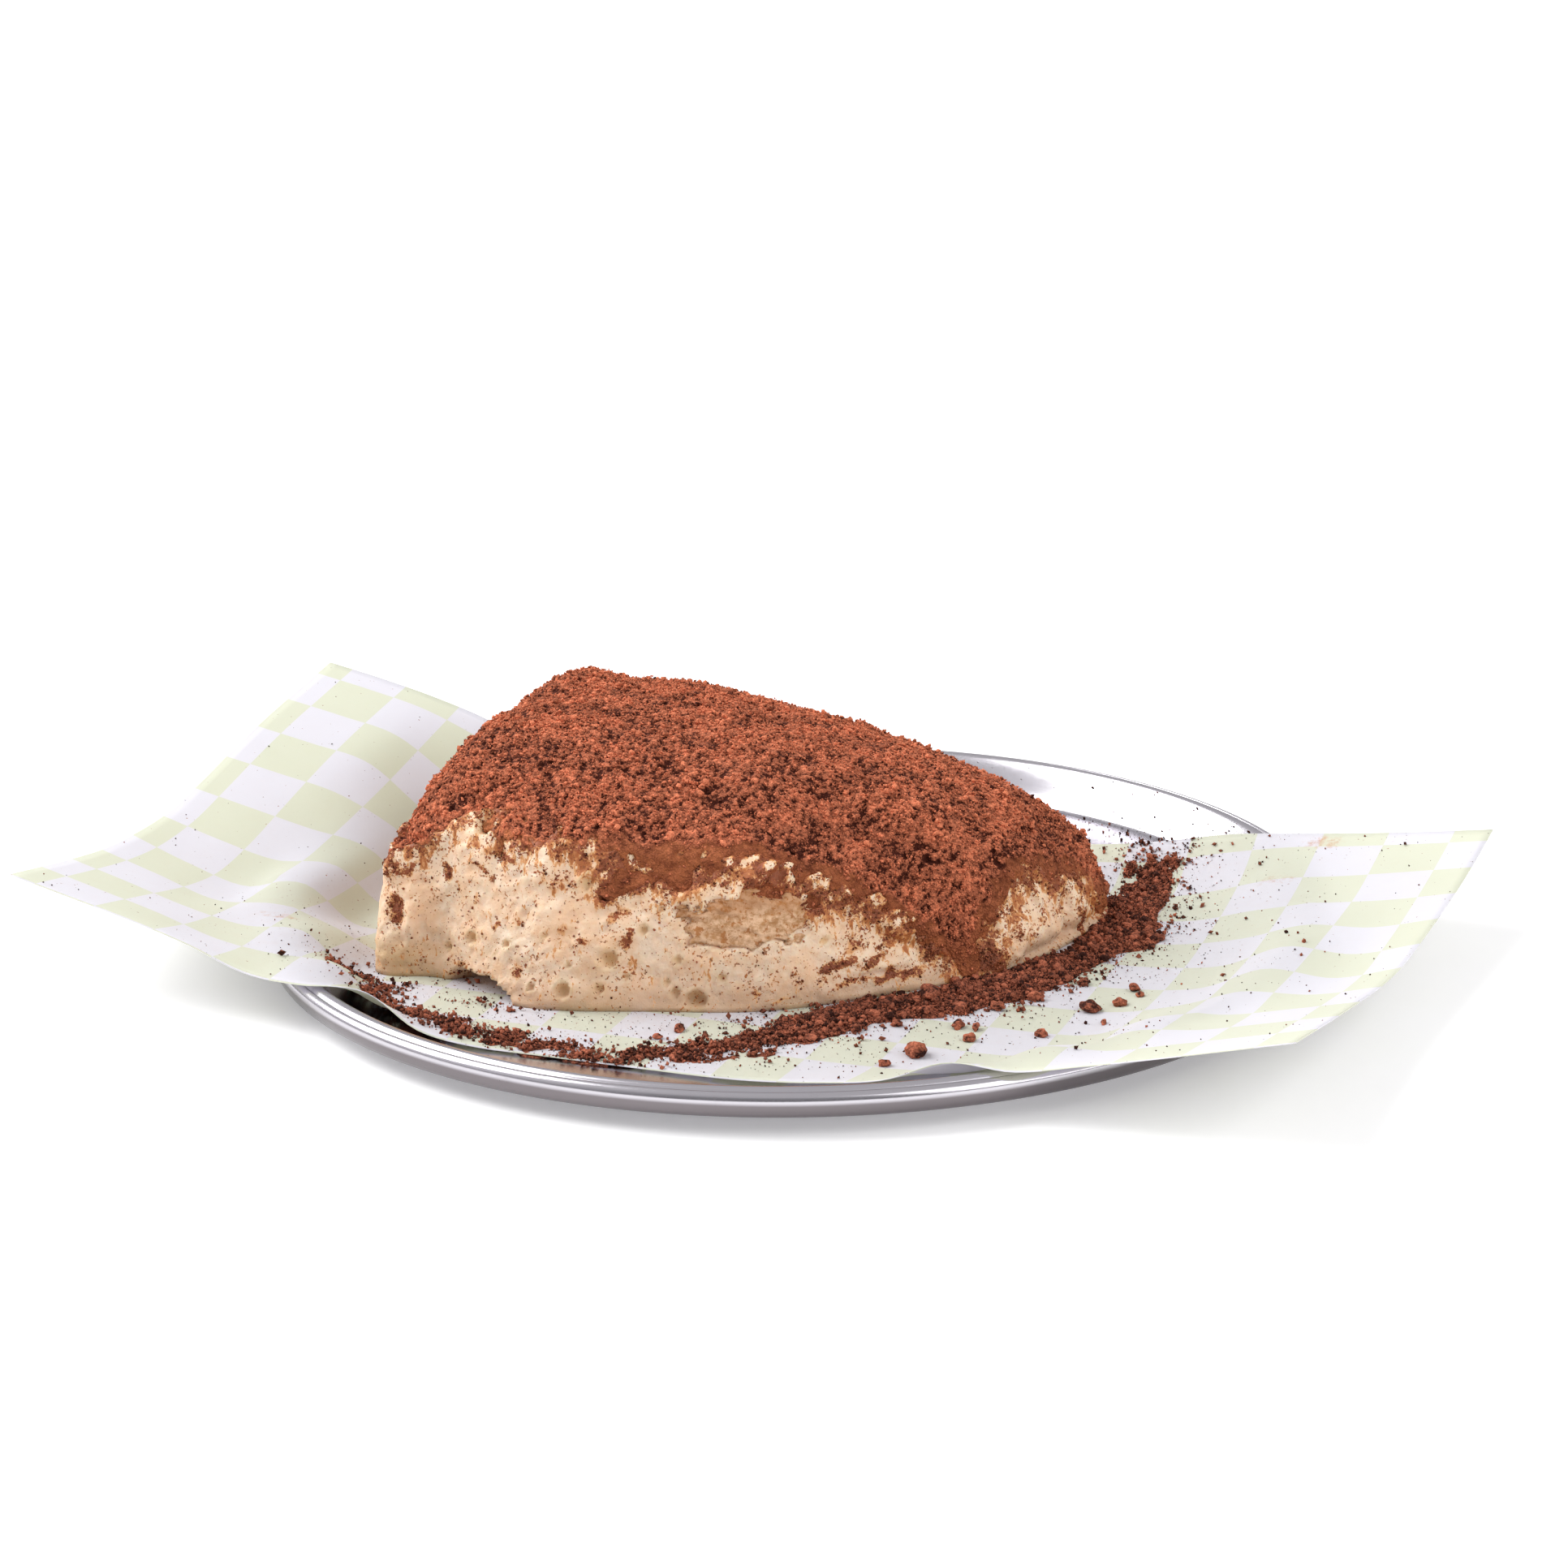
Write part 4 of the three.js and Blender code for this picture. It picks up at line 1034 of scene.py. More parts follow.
def sponge_finish(name, light, dark, soaked):
    """Open crumb with dark pores, browned towards its upper edge."""
    look, start = finish_named(name, {"Roughness": 0.85, "Specular IOR Level": 0.25})
    place = start.node("TexCoord", output="Object")
    long = start.node("Mapping", values={"Vector": place, "Scale": (0.7, 0.7, 1.2)})
    fibre = start.node("TexNoise", values={"Vector": long, "Scale": 620, "Detail": 6, "Roughness": 0.72})
    pores = grain(start, 1.0, 3, 0.6)
    specks = (grain(start, 0.9, 3, 0.6) + grain(start, 5, 3) * 0.3 - 0.15).rise(0.56, 0.64)
    tone = (fibre * 0.6 + pores * 0.4).rise(0.38, 0.58)
    height = start.node("SeparateXYZ", values={0: place}, output="Z")
    browned = (height.rise(0.0165, 0.0215) + grain(start, 4, 4) * 1.4 - 0.9).rise(0, 0.6)
    colour = tone.between(dark, light)
    colour = (browned * 0.5).between(colour, soaked)
    colour = (specks * 0.85).between(colour, soaked)
    bump = start.node("Bump", values={"Strength": 0.7, "Distance": 0.0004, "Height": fibre + pores})
    feed(look, {"Base Color": colour, "Normal": bump})
    return look


def shown_by_opening(spots):
    """The sponge stands in the cream's opening, and lies behind the cream elsewhere."""
    return -1.6 + 2.0 * smooth(finger_opening(spots), 0.1, 0.7)


def kept_inside(spots):
    """The sponge stays behind the cream everywhere."""
    return -1.6


pale_sponge = sponge_finish("sponge_crumb", (0.82, 0.54, 0.34), (0.50, 0.25, 0.105), (0.45, 0.17, 0.05))
dark_sponge = sponge_finish(
    "coffee_soaked_sponge", (0.34, 0.155, 0.075), (0.15, 0.06, 0.03), (0.10, 0.04, 0.02))
for name, finger in FINGERS.items():
    upper = name == "ladyfinger_upper"
    front = shown_by_opening if upper else kept_inside
    finger_points, finger_faces = finger_mesh(name, finger, front, shown_by_opening)
    look, slot = (pale_sponge, "sponge") if upper else (dark_sponge, "soaked_sponge")
    part_piece("sponge_" + name, on_table(finger_points), finger_faces, look, slot, name)


# ---------- Cocoa on top ----------
# Cocoa powder sifted thickly over the slice. It lies in grains and little clumps with clefts
# between them, painted dark as shade; along its lower edge it is thin, damp, packed smooth and painted darker
# as shade.

CORNERS = [0.0, 0.425, 0.585, 0.835, 1.0]      # u at the slice's four corners, front left first
MOUNDS = [
    # along, across, half width, half depth, height
    (0, -22, 9, 4, 1.3),
    (-12, -15, 12, 4, 0.6),
    (-54, 20, 7, 8, 1.2),
    (-60, 3, 4, 5, -0.7),
    (-43, 26, 5, 7, -0.7),
    (-29, 24, 5, 8, 0.6),
    (8, -8, 10, 4, 0.5),
    (20, 6, 12, 9, 0.3),
    (38, 14, 8, 10, 0.3),
]


def top_swell(points):
    """Mounds and hollows of the whole top."""
    along, across = points[..., 0], points[..., 1]
    total = 0.5 * swell(points, 24, 81) + 0.35 * swell(points, 12, 83)
    for a, b, wide, deep, high in MOUNDS:
        total = total + high * blot(along, across, a, b, wide, deep)
    return total


def packed_smooth(points, u, cover):
    """1 where the cocoa is packed smooth, along its lower edge at the front and right."""
    where = np.interp(u, [0.18, 0.23, 0.40, 0.45, 0.56, 0.62], [0, 1, 1, 0.8, 0.9, 0])
    return where * smooth(cover + 1.4 * swell(points, 4.5, 89, 2), 7.5, 4)


def crust_mesh():
    """A grid that is square to the slice in the middle and follows its outline at the rim."""
    columns, rows = 396, 236
    a, b = np.meshgrid(np.linspace(-1, 1, columns + 1), np.linspace(-1, 1, rows + 1), indexing="ij")
    ring = np.maximum(np.abs(a), np.abs(b))
    safe = np.maximum(ring, 1e-9)
    corner = np.interp(CORNERS, round_u, round_length)
    share = np.select(
        [b <= -ring, a >= ring, b >= ring],
        [
            corner[0] + (a / safe + 1) / 2 * (corner[1] - corner[0]),
            corner[1] + (b / safe + 1) / 2 * (corner[2] - corner[1]),
            corner[2] + (1 - a / safe) / 2 * (corner[3] - corner[2]),
        ],
        corner[3] + (1 - b / safe) / 2 * (corner[4] - corner[3]),
    )
    u = np.interp(share, round_length, round_u)
    whole = np.interp(u, round_u, WHOLE_WAY)
    lowest = np.maximum(np.interp(u, round_u, EDGE_WAY) - 6.5, 0.3)
    way = whole - ring * (whole - lowest)
    v = v_up_the_side(u, way)
    plain = slice_point(u, v).reshape(-1, 3)
    faces = grid_faces(columns + 1, rows + 1)[:, ::-1]
    return plain, faces, border_of(columns + 1, rows + 1), u.ravel(), way.ravel()


def crust_relief(points, u, cover):
    """How far the cocoa's clods stand out, and the clods alone."""
    packed = packed_smooth(points, u, cover)
    coarse = 0.5 * swell(points, 6, 91, 2) + 0.4 * swell(points, 2.6, 93, 2)
    warped = points + 0.7 * np.stack([swell(points, 2.2, seed) for seed in (95, 97, 99)], -1)
    patchy = smooth(swell(points, 6, 100), -0.4, 0.4)
    large = 0.3 * lumps_relief(warped, 3.0, 101) * patchy
    small = 0.35 * lumps_relief(warped, 1.7, 103) + 0.65 * lumps_relief(warped, 0.95, 105)
    small = small + 0.3 * swell(points, 0.8, 107)
    holes = smooth(swell(points, 1.5, 109, 2), 0.30, 0.62)
    clods = large + small - 0.85 - 0.45 * holes
    fade = smooth(cover, -1, 5)
    return (coarse + clods) * (0.25 + 0.75 * fade) * (1 - 0.92 * packed), clods * (1 - 0.8 * packed)


crust_plain, crust_faces, crust_border, crust_u, crust_way = crust_mesh()
crust_normals = outward_normals(crust_plain, crust_faces)
crust_cover = cocoa_cover(crust_plain, crust_u, crust_way)
crust_height, crust_clods = crust_relief(crust_plain, crust_u, crust_cover)
crust_sink = 0.5 * smooth(crust_cover, 2.5, -1.0) + 2.2 * smooth(crust_cover, -0.8, -4.5)
crust_out = crust_height + top_swell(crust_plain) * smooth(crust_cover, 2, 12) - crust_sink
crust_points = crust_plain + crust_normals * crust_out[:, None]
crust_points[:, 2] = np.maximum(crust_points[:, 2], -0.3)
crust_packed = packed_smooth(crust_plain, crust_u, crust_cover)
crust_thin = smooth(crust_cover, 3.5, 0.3)


def cocoa_finish(name, light, dark):
    """Cocoa: painted shade in its clefts and painted light on its grains' tops, with random tone; redder and
    paler where it is thin.
    """
    look, start = finish_named(name, {"Roughness": 0.9, "Specular IOR Level": 0.2})
    place = start.node("TexCoord", output="Object")
    wander = start.node("TexNoise", values={"Vector": place, "Scale": 1200, "Detail": 2}, output="Color")
    shift = start.node("VectorMath", {"operation": "SCALE"}, {0: wander, "Scale": 0.0006})
    moved = start.node("VectorMath", {"operation": "ADD"}, {0: place, 1: shift})
    fine = start.node("TexVoronoi", values={"Vector": moved, "Scale": 2300})
    coarse = start.node("TexVoronoi", values={"Vector": moved, "Scale": 950})
    # The cells' middles stand out in the bump; in the colour they are painted light on the tops and painted
    # shade in the clefts between.
    tops = 1 - fine * 0.62 - coarse * 0.5
    # Paleness from the mesh's tone mark and the cells: painted light and shade, with random tone.
    tone = mark(start, "tone") * 0.9 + tops * 0.9 + grain(start, 4, 4) * 0.5 - 0.72
    middle = tuple(0.45 * a + 0.55 * b for a, b in zip(light, dark))
    low = tone.rise(0.1, 0.46).between(dark, middle)
    colour = tone.rise(0.42, 0.86).between(low, light)
    thin = (mark(start, "thin") + (grain(start, 1.2, 4, 0.7) - 0.5) * 0.9).rise(0.35, 1.1)
    colour = (thin * 0.5).between(colour, (0.50, 0.17, 0.05))
    # Along the packed lower edge the colour is smoother and darker: the damp packed cocoa's own colour, with
    # painted shade of the band that faces away from the light.
    damp_and_painted_shade = grain(start, 2.5, 5, 0.7).rise(0.3, 0.7).between((0.20, 0.05, 0.018), (0.50, 0.155, 0.06))
    colour = (mark(start, "packed") * 0.75).between(colour, damp_and_painted_shade)
    bump = start.node("Bump", values={"Strength": 1.0, "Distance": 0.0006, "Height": tops})
    feed(look, {"Base Color": colour, "Normal": bump})
    return look


def cocoa_piece(name, points, faces, look, tone, thin=0.0, node=None, **marks):
    """A piece of cocoa: how pale it is from 0 to 1, painted light and shade where it follows the relief, and
    how thin it lies.
    """
    thin = np.zeros(len(points)) + thin
    part_piece(name, points, faces, look, "cocoa", node, tone=tone, thin=thin, **marks)


cocoa_dust = cocoa_finish("cocoa_powder", (0.88, 0.27, 0.135), (0.06, 0.010, 0.004))
crust_centre = np.array([[*CROWN, 30.0]])
crust_closing = fan_faces(crust_border, len(crust_points))[:, ::-1]
# The crust's paleness follows its clods: painted light on their tops and painted shade in the clefts.
cocoa_piece(
    "cocoa_crust", on_table(np.concatenate([crust_points, crust_centre])),
    np.concatenate([crust_faces, crust_closing]), cocoa_dust,
    np.append(np.clip(0.50 + crust_clods - 0.15 * crust_packed, 0, 1), 0.5),
    np.append(crust_thin, 0), "cocoa_cap", packed=np.append(crust_packed, 0),
)

EIGHT_SIDES = (
    np.array([(1, 0, 0), (-1, 0, 0), (0, 1, 0), (0, -1, 0), (0, 0, 1), (0, 0, -1)], float),
    np.array([(0, 2, 4), (2, 1, 4), (1, 3, 4), (3, 0, 4), (2, 0, 5), (1, 2, 5), (3, 1, 5), (0, 3, 5)]),
)

TWENTY_SIDES = (
    np.array([
        (-0.526, 0.851, 0), (0.526, 0.851, 0), (-0.526, -0.851, 0), (0.526, -0.851, 0), (0, -0.526, 0.851),
        (0, 0.526, 0.851), (0, -0.526, -0.851), (0, 0.526, -0.851), (0.851, 0, -0.526), (0.851, 0, 0.526),
        (-0.851, 0, -0.526), (-0.851, 0, 0.526),
    ]),
    np.array([
        (0, 11, 5), (0, 5, 1), (0, 1, 7), (0, 7, 10), (0, 10, 11), (1, 5, 9), (5, 11, 4), (11, 10, 2),
        (10, 7, 6), (7, 1, 8), (3, 9, 4), (3, 4, 2), (3, 2, 6), (3, 6, 8), (3, 8, 9), (4, 9, 5),
        (2, 4, 11), (6, 2, 10), (8, 6, 7), (9, 8, 1),
    ]),
)


def strewn(points, faces, density, count, random):
    """Random places on a mesh, crowded where its density is high, with the normals there."""
    corners = points[faces]
    across = np.cross(corners[:, 1] - corners[:, 0], corners[:, 2] - corners[:, 0])
    area = np.linalg.norm(across, axis=1)
    weight = area * density[faces].mean(axis=1)
    chosen = random.choice(len(faces), count, p=weight / weight.sum())
    a, b = random.random((2, count, 1))
    over = a + b > 1
    a, b = np.where(over, 1 - a, a), np.where(over, 1 - b, b)
    corner = corners[chosen]
    places = corner[:, 0] * (1 - a - b) + corner[:, 1] * a + corner[:, 2] * b
    return places, across[chosen] / area[chosen, None], faces[chosen, 0]


def crumbs_mesh(places, sizes, form, random, dents=0.3):
    """Copies of a small closed form at these places, each turned, stretched and dented at random."""
    shape, sides = form
    count = len(places)
    turn = random.normal(size=(count, 4))
    w, x, y, z = (turn / np.linalg.norm(turn, axis=1, keepdims=True)).T
    turned = np.stack([
        1 - 2 * (y * y + z * z), 2 * (x * y - z * w), 2 * (x * z + y * w),
        2 * (x * y + z * w), 1 - 2 * (x * x + z * z), 2 * (y * z - x * w),
        2 * (x * z - y * w), 2 * (y * z + x * w), 1 - 2 * (x * x + y * y),
    ], -1).reshape(count, 3, 3)
    dented = shape * random.uniform(1 - dents, 1 + dents, (count, len(shape), 1))
    dented = dented * random.uniform(0.7, 1.2, (count, 1, 3)) * sizes[:, None, None] / 2
    corners = np.einsum("nij,nkj->nki", turned, dented) + places[:, None]
    faces = sides[None] + (np.arange(count) * len(shape))[:, None, None]
    return corners.reshape(-1, 3), faces.reshape(-1, 3)


random = np.random.default_rng(11)
clustered = 0.15 + smooth(crust_clods + 0.35 * swell(crust_plain, 1.3, 115, 2), -0.35, 0.35)
grain_density = smooth(crust_cover, 0.3, 4.0) * (1 - 0.93 * crust_packed) * clustered
grain_density = grain_density + 0.03 * (crust_cover > 0.6)
for name, count, small, spread, dents, form in (
    ("cocoa_grains", 24500, 0.32, 0.30, 0.45, EIGHT_SIDES),
    ("cocoa_clods", 1100, 0.6, 0.7, 0.4, TWENTY_SIDES),
):
    places, out, near_point = strewn(crust_points, crust_faces, grain_density, count, random)
    sizes = small + spread * random.random(count) ** 2.5
    piled = 0.3 * random.random(count) * smooth(crust_clods[near_point], 0.0, 0.4)
    places += out * (sizes * 0.22 + piled)[:, None]
    grain_points, grain_faces = crumbs_mesh(places, sizes * 1.15, form, random, dents)
    # Grains on the clods' tops are painted paler as painted light, beside random tone.
    tones = np.clip(0.72 + 0.24 * random.normal(size=count) + 0.45 * crust_clods[near_point], 0, 1)
    tones = np.repeat(tones, len(form[0]))
    cocoa_piece(name, on_table(grain_points), grain_faces, cocoa_dust, tones, node="cocoa_cap")


# ---------- Crumbs of cocoa stuck to the cream ----------
# Grains that fell or were dragged down the cut sides. They sit half sunk in the cream,
# in patches where the powder was pressed and singly between them.

crumb_finish = cocoa_finish("loose_cocoa", (0.54, 0.165, 0.09), (0.04, 0.010, 0.006))
random = np.random.default_rng(23)
patchy = smooth(cocoa_smeared(cream_plain) + 0.35 * swell(cream_plain, 1.4, 111, 2), 0.45, 1.0)
speckled = smooth(swell(cream_plain, 1.1, 113, 2), 0.1, 0.6) * smooth(cream_cover, -9, -1)
stuck_density = patchy + 0.6 * smooth(cream_cover, -2.5, 0.5) + 0.3 * speckled + 0.012
stuck_density = stuck_density * (cream_cover < 1.2) * (cream_plain[:, 2] > 0.5)
stuck_density[-2:] = 0
stuck_count = 9000
stuck_places, stuck_out, near_point = strewn(cream_points, cream_faces, stuck_density, stuck_count, random)
stuck_sizes = 0.2 + 0.48 * random.random(stuck_count) ** 3
stuck_places += stuck_out * (stuck_sizes * 0.12)[:, None]
stuck_points, stuck_faces = crumbs_mesh(stuck_places, stuck_sizes, EIGHT_SIDES, random)
stuck_tones = np.repeat(0.3 + 0.7 * random.random(stuck_count), len(EIGHT_SIDES[0]))
cocoa_piece("cocoa_stuck_to_cream", on_table(stuck_points), stuck_faces, crumb_finish, stuck_tones, 0.6)


# ---------- Bank of loose cocoa ----------
# Powder that has slid down and lies banked against the slice's right-hand foot: a low fan
# of packed grains, with loose ones and broken lumps over it.

BANK_ROUTE = np.array(
    [(16, -50), (28, -39), (40, -28), (50, -14), (57, 3), (59.5, 18), (57, 36), (57, 52)], float)
BANK_SIZE = np.array([
    # width, height
    (5, 0.4), (11, 0.9), (14, 1.3), (12, 1.4), (10, 1.0), (14, 0.75), (14, 0.5), (9, 0.1),
])

upper_side = paper_points[: sheet_fine.size // 3]
upper_faces = grid_faces(*sheet_fine.shape[:2])[:, ::-1]
paper_top = BVHTree.FromPolygons(upper_side.tolist(), upper_faces.tolist())


def paper_height(x, y):
    """Height of the paper's upper side, or nan where there is no paper."""
    heights = []
    for px, py in zip(np.ravel(x).tolist(), np.ravel(y).tolist()):
        hit = paper_top.ray_cast(Vector((px, py, 60)), Vector((0, 0, -1)))[0]
        heights.append(hit.z if hit else np.nan)
    return np.reshape(heights, np.shape(x))


def drift_mesh(stops, sizes, steps, over, under):
    """A low drift of powder along a line of places in the slice's axes, lying on the paper."""
    place = np.linspace(0, len(stops) - 1, steps + 1)
    route = spline_rows(stops, place)
    width, height = spline_rows(sizes, place).T
    run = np.gradient(route, axis=0)
    run /= np.linalg.norm(run, axis=1, keepdims=True)
    outward = np.stack([run[:, 1], -run[:, 0]], 1)
    w = np.concatenate([np.linspace(1, -1, over), np.linspace(-1, 1, under + 2)[1:-1]])
    top = np.concatenate([np.ones(over), np.zeros(under)])
    level = np.stack([route[:, 0], route[:, 1], route[:, 0] * 0], 1)
    left = swell(level, 4.5, 120, 2)[:, None] * np.maximum(-w, 0)
    right = swell(level, 4.5, 121, 2)[:, None] * np.maximum(w, 0)
    half = w * (1 + 0.45 * (left + right)) * width[:, None] / 2
    flat = route[:, None] + outward[:, None] * half[..., None]
    x, y, _ = np.moveaxis(on_table(np.concatenate([flat, flat[..., :1] * 0], -1)), -1, 0)
    base = paper_height(x, y)
    base = np.where(np.isnan(base), PLATE["steel"], base)
    spots = np.stack([x, y, base], -1)
    heap = np.sqrt(np.clip(1 - w**2, 0, 1))[None] * height[:, None]
    rough = 0.5 * swell(spots, 4, 123, 2)
    rough = rough + 0.45 * lumps_relief(spots, 2.4, 125) + 0.3 * lumps_relief(spots, 1.2, 127)
    z = base + np.where(top > 0, heap + (rough - 0.55) * (0.6 + 0.6 * heap) - 0.15, -0.25)
    points = np.stack([x, y, z], -1)
    count = over + under
    faces = grid_faces(steps + 1, count, closed=True)
    ends = points[[0, -1]].mean(axis=1)
    all_points = np.concatenate([points.reshape(-1, 3), ends])
    faces = np.concatenate([
        faces,
        fan_faces(np.arange(count)[::-1], len(all_points) - 2),
        fan_faces(steps * count + np.arange(count), len(all_points) - 1),
    ])
    # Paler on the bumps and darker in the hollows: painted light and shade.
    tone = np.append(np.clip(rough * 0.9, 0, 1).ravel(), [0.5, 0.5])
    shown = np.append((np.tile(top, (steps + 1, 1)) * (z > base + 0.02)).ravel(), [0, 0])
    if outward_normals(all_points, faces)[shown > 0, 2].mean() < 0:
        faces = faces[:, ::-1]
    return all_points, faces, tone, shown


bank_points, bank_faces, bank_painted_shade, bank_shown = drift_mesh(BANK_ROUTE, BANK_SIZE, 150, 62, 6)
cocoa_piece("cocoa_bank_core", bank_points, bank_faces, crumb_finish, bank_painted_shade, node="cocoa_bank")

random = np.random.default_rng(31)
for name, count, small, spread, form in (
    ("cocoa_bank_grains", 12000, 0.32, 0.4, EIGHT_SIDES),
    ("cocoa_bank_clods", 1200, 0.55, 1.25, TWENTY_SIDES),
):
    places, out, _ = strewn(bank_points, bank_faces, bank_shown + 0.0, count, random)
    sizes = small + spread * random.random(count) ** 3
    places += out * (sizes * 0.24)[:, None]
    places[:, 2] = np.maximum(places[:, 2], 0.3 + sizes * 0.8)
    loose_points, loose_faces = crumbs_mesh(places, sizes * 1.1, form, random)
    tones = np.repeat(np.clip(random.normal(0.6, 0.25, count), 0, 1), len(form[0]))
    cocoa_piece(name, loose_points, loose_faces, crumb_finish, tones, node="cocoa_bank")


# ---------- Loose cocoa on the paper and plate ----------
# Crumbs that rolled off as the slice was served: a thin broken line in front of it, a
# scatter beyond the bank, a few pressed lumps, and dust everywhere, on the steel too.

RING_SIZE = np.array([
    # width, height
    (6, 0.10), (9, 0.16), (9, 0.20), (9, 0.18), (8.5, 0.16), (8, 0.17), (8, 0.14), (7, 0.08), (6, 0.06),
    (6, 0.10), (8.5, 0.16), (10, 0.20), (11, 0.25), (11, 0.35), (10, 0.5), (7, 0.6),
])
ring_core_points, ring_core_faces, ring_core_painted_shade, ring_shown = drift_mesh(
    np.array(CRUMB_RING), RING_SIZE, 200, 18, 3)
cocoa_piece("cocoa_line_core", ring_core_points, ring_core_faces, crumb_finish, ring_core_painted_shade)


SECOND_LINE = [(-71.2, -54.2), (-66.2, -56.2), (-59.8, -58.9), (-56.9, -55.2)]


def crumb_density(x, y):
    """How thickly crumbs lie at a place on the paper."""
    along, across = slice_axes(x, y)
    spots = np.stack([x, y, x * 0], -1)
    patchy = smooth(swell(spots, 5.5, 131, 2), -0.35, 0.5)
    ring, share = distance_to_route(CRUMB_RING, along, across)
    wide = np.interp(share, [0, 0.4, 0.7, 1], [3.6, 3.4, 4.6, 5.0])
    line = np.exp(-((ring / wide) ** 2)) * (0.1 + patchy)
    second = distance_to_route(SECOND_LINE, along, across)[0]
    line = line + 0.8 * np.exp(-((second / 1.4) ** 2)) * (0.2 + patchy)
    bank_gap = distance_to_route(BANK_ROUTE, along, across)[0]
    skirt = np.exp(-((np.maximum(bank_gap - 5, 0) / 5) ** 2)) * (0.1 + patchy) * 0.8
    beside_hollow = blot(along, across, -38, -58, 6, 1.8) * 0.9
    foot = distance_to_route(FOOT_LINE, along, across)[0]
    near_foot = np.exp(-foot / 1.5) * 0.12
    wide_scatter = np.exp(-bank_gap / 14) * 0.04 + np.exp(-ring / 8) * 0.015
    return 2.5 * line + skirt + beside_hollow + near_foot + wide_scatter


random = np.random.default_rng(43)
loose_count, piled_count = 5400, 3000
ring_count = loose_count + piled_count
density = crumb_density(upper_side[:, 0], upper_side[:, 1])
loose_places, _, _ = strewn(upper_side, upper_faces, density, loose_count, random)
piled_places, _, _ = strewn(ring_core_points, ring_core_faces, ring_shown + 0.0, piled_count, random)
ring_places = np.concatenate([loose_places, piled_places])
ring_sizes = 0.32 + 0.95 * random.random(ring_count) ** 3
ring_places[:, 2] += ring_sizes * random.uniform(0.1, 0.6, ring_count)
ring_points, ring_faces = crumbs_mesh(ring_places, ring_sizes, EIGHT_SIDES, random)
ring_tones = np.repeat(np.clip(random.normal(0.55, 0.25, ring_count), 0, 1), len(EIGHT_SIDES[0]))
cocoa_piece("cocoa_crumbs", ring_points, ring_faces, crumb_finish, ring_tones)


def dust_density(x, y):
    """How thickly single grains lie at a place on the paper."""
    along, across = slice_axes(x, y)
    foot = distance_to_route(FOOT_LINE, along, across)[0]
    bank_gap = distance_to_route(BANK_ROUTE, along, across)[0]
    ring = distance_to_route(CRUMB_RING, along, across)[0]
    return 0.015 + 0.5 * np.exp(-bank_gap / 12) + 0.3 * np.exp(-foot / 9) + 0.3 * np.exp(-ring / 6)


def dust_on_steel(count, random):
    """Places on the bare steel behind the slice, crowded near its right-hand end."""
    tries = 60000
    spread = random.uniform(-1, 1, (tries, 2)) * PLATE["crest"]
    inside_wall = np.hypot(spread[:, 0], spread[:, 1]) < PLATE["crest"] - 1
    along, across = slice_axes(spread[:, 0], spread[:, 1])
    behind = (across > 48) & (along > -10)
    keep = random.random(tries) < np.exp(-np.hypot(along - 44, across - 56) / 22)
    spread = spread[inside_wall & behind & keep][:count]
    places = np.column_stack([spread, plate_top(np.hypot(spread[:, 0], spread[:, 1]))])
    return places[np.isnan(paper_height(spread[:, 0], spread[:, 1]))]


random = np.random.default_rng(47)
dust_count, steel_count = 4200, 900
density = dust_density(upper_side[:, 0], upper_side[:, 1])
dust_places, _, _ = strewn(upper_side, upper_faces, density, dust_count, random)
dust_places = np.concatenate([dust_places, dust_on_steel(steel_count, random)])
dust_sizes = 0.13 + 0.32 * random.random(len(dust_places)) ** 3
dust_sizes[dust_count:] *= 1.6
dust_places[:, 2] += dust_sizes * 0.3
dust_points, dust_faces = crumbs_mesh(dust_places, dust_sizes, EIGHT_SIDES, random)
dust_tones = np.repeat(random.random(len(dust_places)) * 0.6, len(EIGHT_SIDES[0]))
cocoa_piece("cocoa_dust", dust_points, dust_faces, crumb_finish, dust_tones)

# Pressed lumps of cocoa: along, across, size.
LUMPS = [
    (0.2, -58.2, 2.2), (66.3, -24.8, 3.9), (70.8, -21.1, 2.2), (61.8, -39.4, 2.2), (50.6, -45.5, 2.0),
    (44.3, -55.6, 3.6), (49.9, -40.2, 1.7), (50.3, -29.2, 2.7), (40.7, -62.2, 1.9), (46.4, -40.1, 2.2),
    (42.5, -26.6, 2.9), (37.9, -31.4, 3.6), (71.0, -13.0, 2.0), (73.0, -15.8, 1.5), (-2.0, -63.0, 1.5),
    (44.0, -33.0, 2.4), (39.0, -36.5, 2.0), (36.0, -43.0, 1.9), (55.0, -22.0, 2.7), (70.9, -31.4, 1.4),
    (30.0, -48.0, 2.4), (24.0, -55.0, 2.0), (61.0, -12.0, 2.5), (-11.0, -74.0, 1.7), (5.0, -72.0, 1.5),
]
random = np.random.default_rng(53)
shaper = bmesh.new()
bmesh.ops.create_icosphere(shaper, subdivisions=3, radius=1)
ball_points = np.array([v.co[:] for v in shaper.verts])
ball_faces = np.array([[v.index for v in f.verts] for f in shaper.faces])
shaper.free()
lump_points, lump_faces, lump_painted_shade = [], [], []
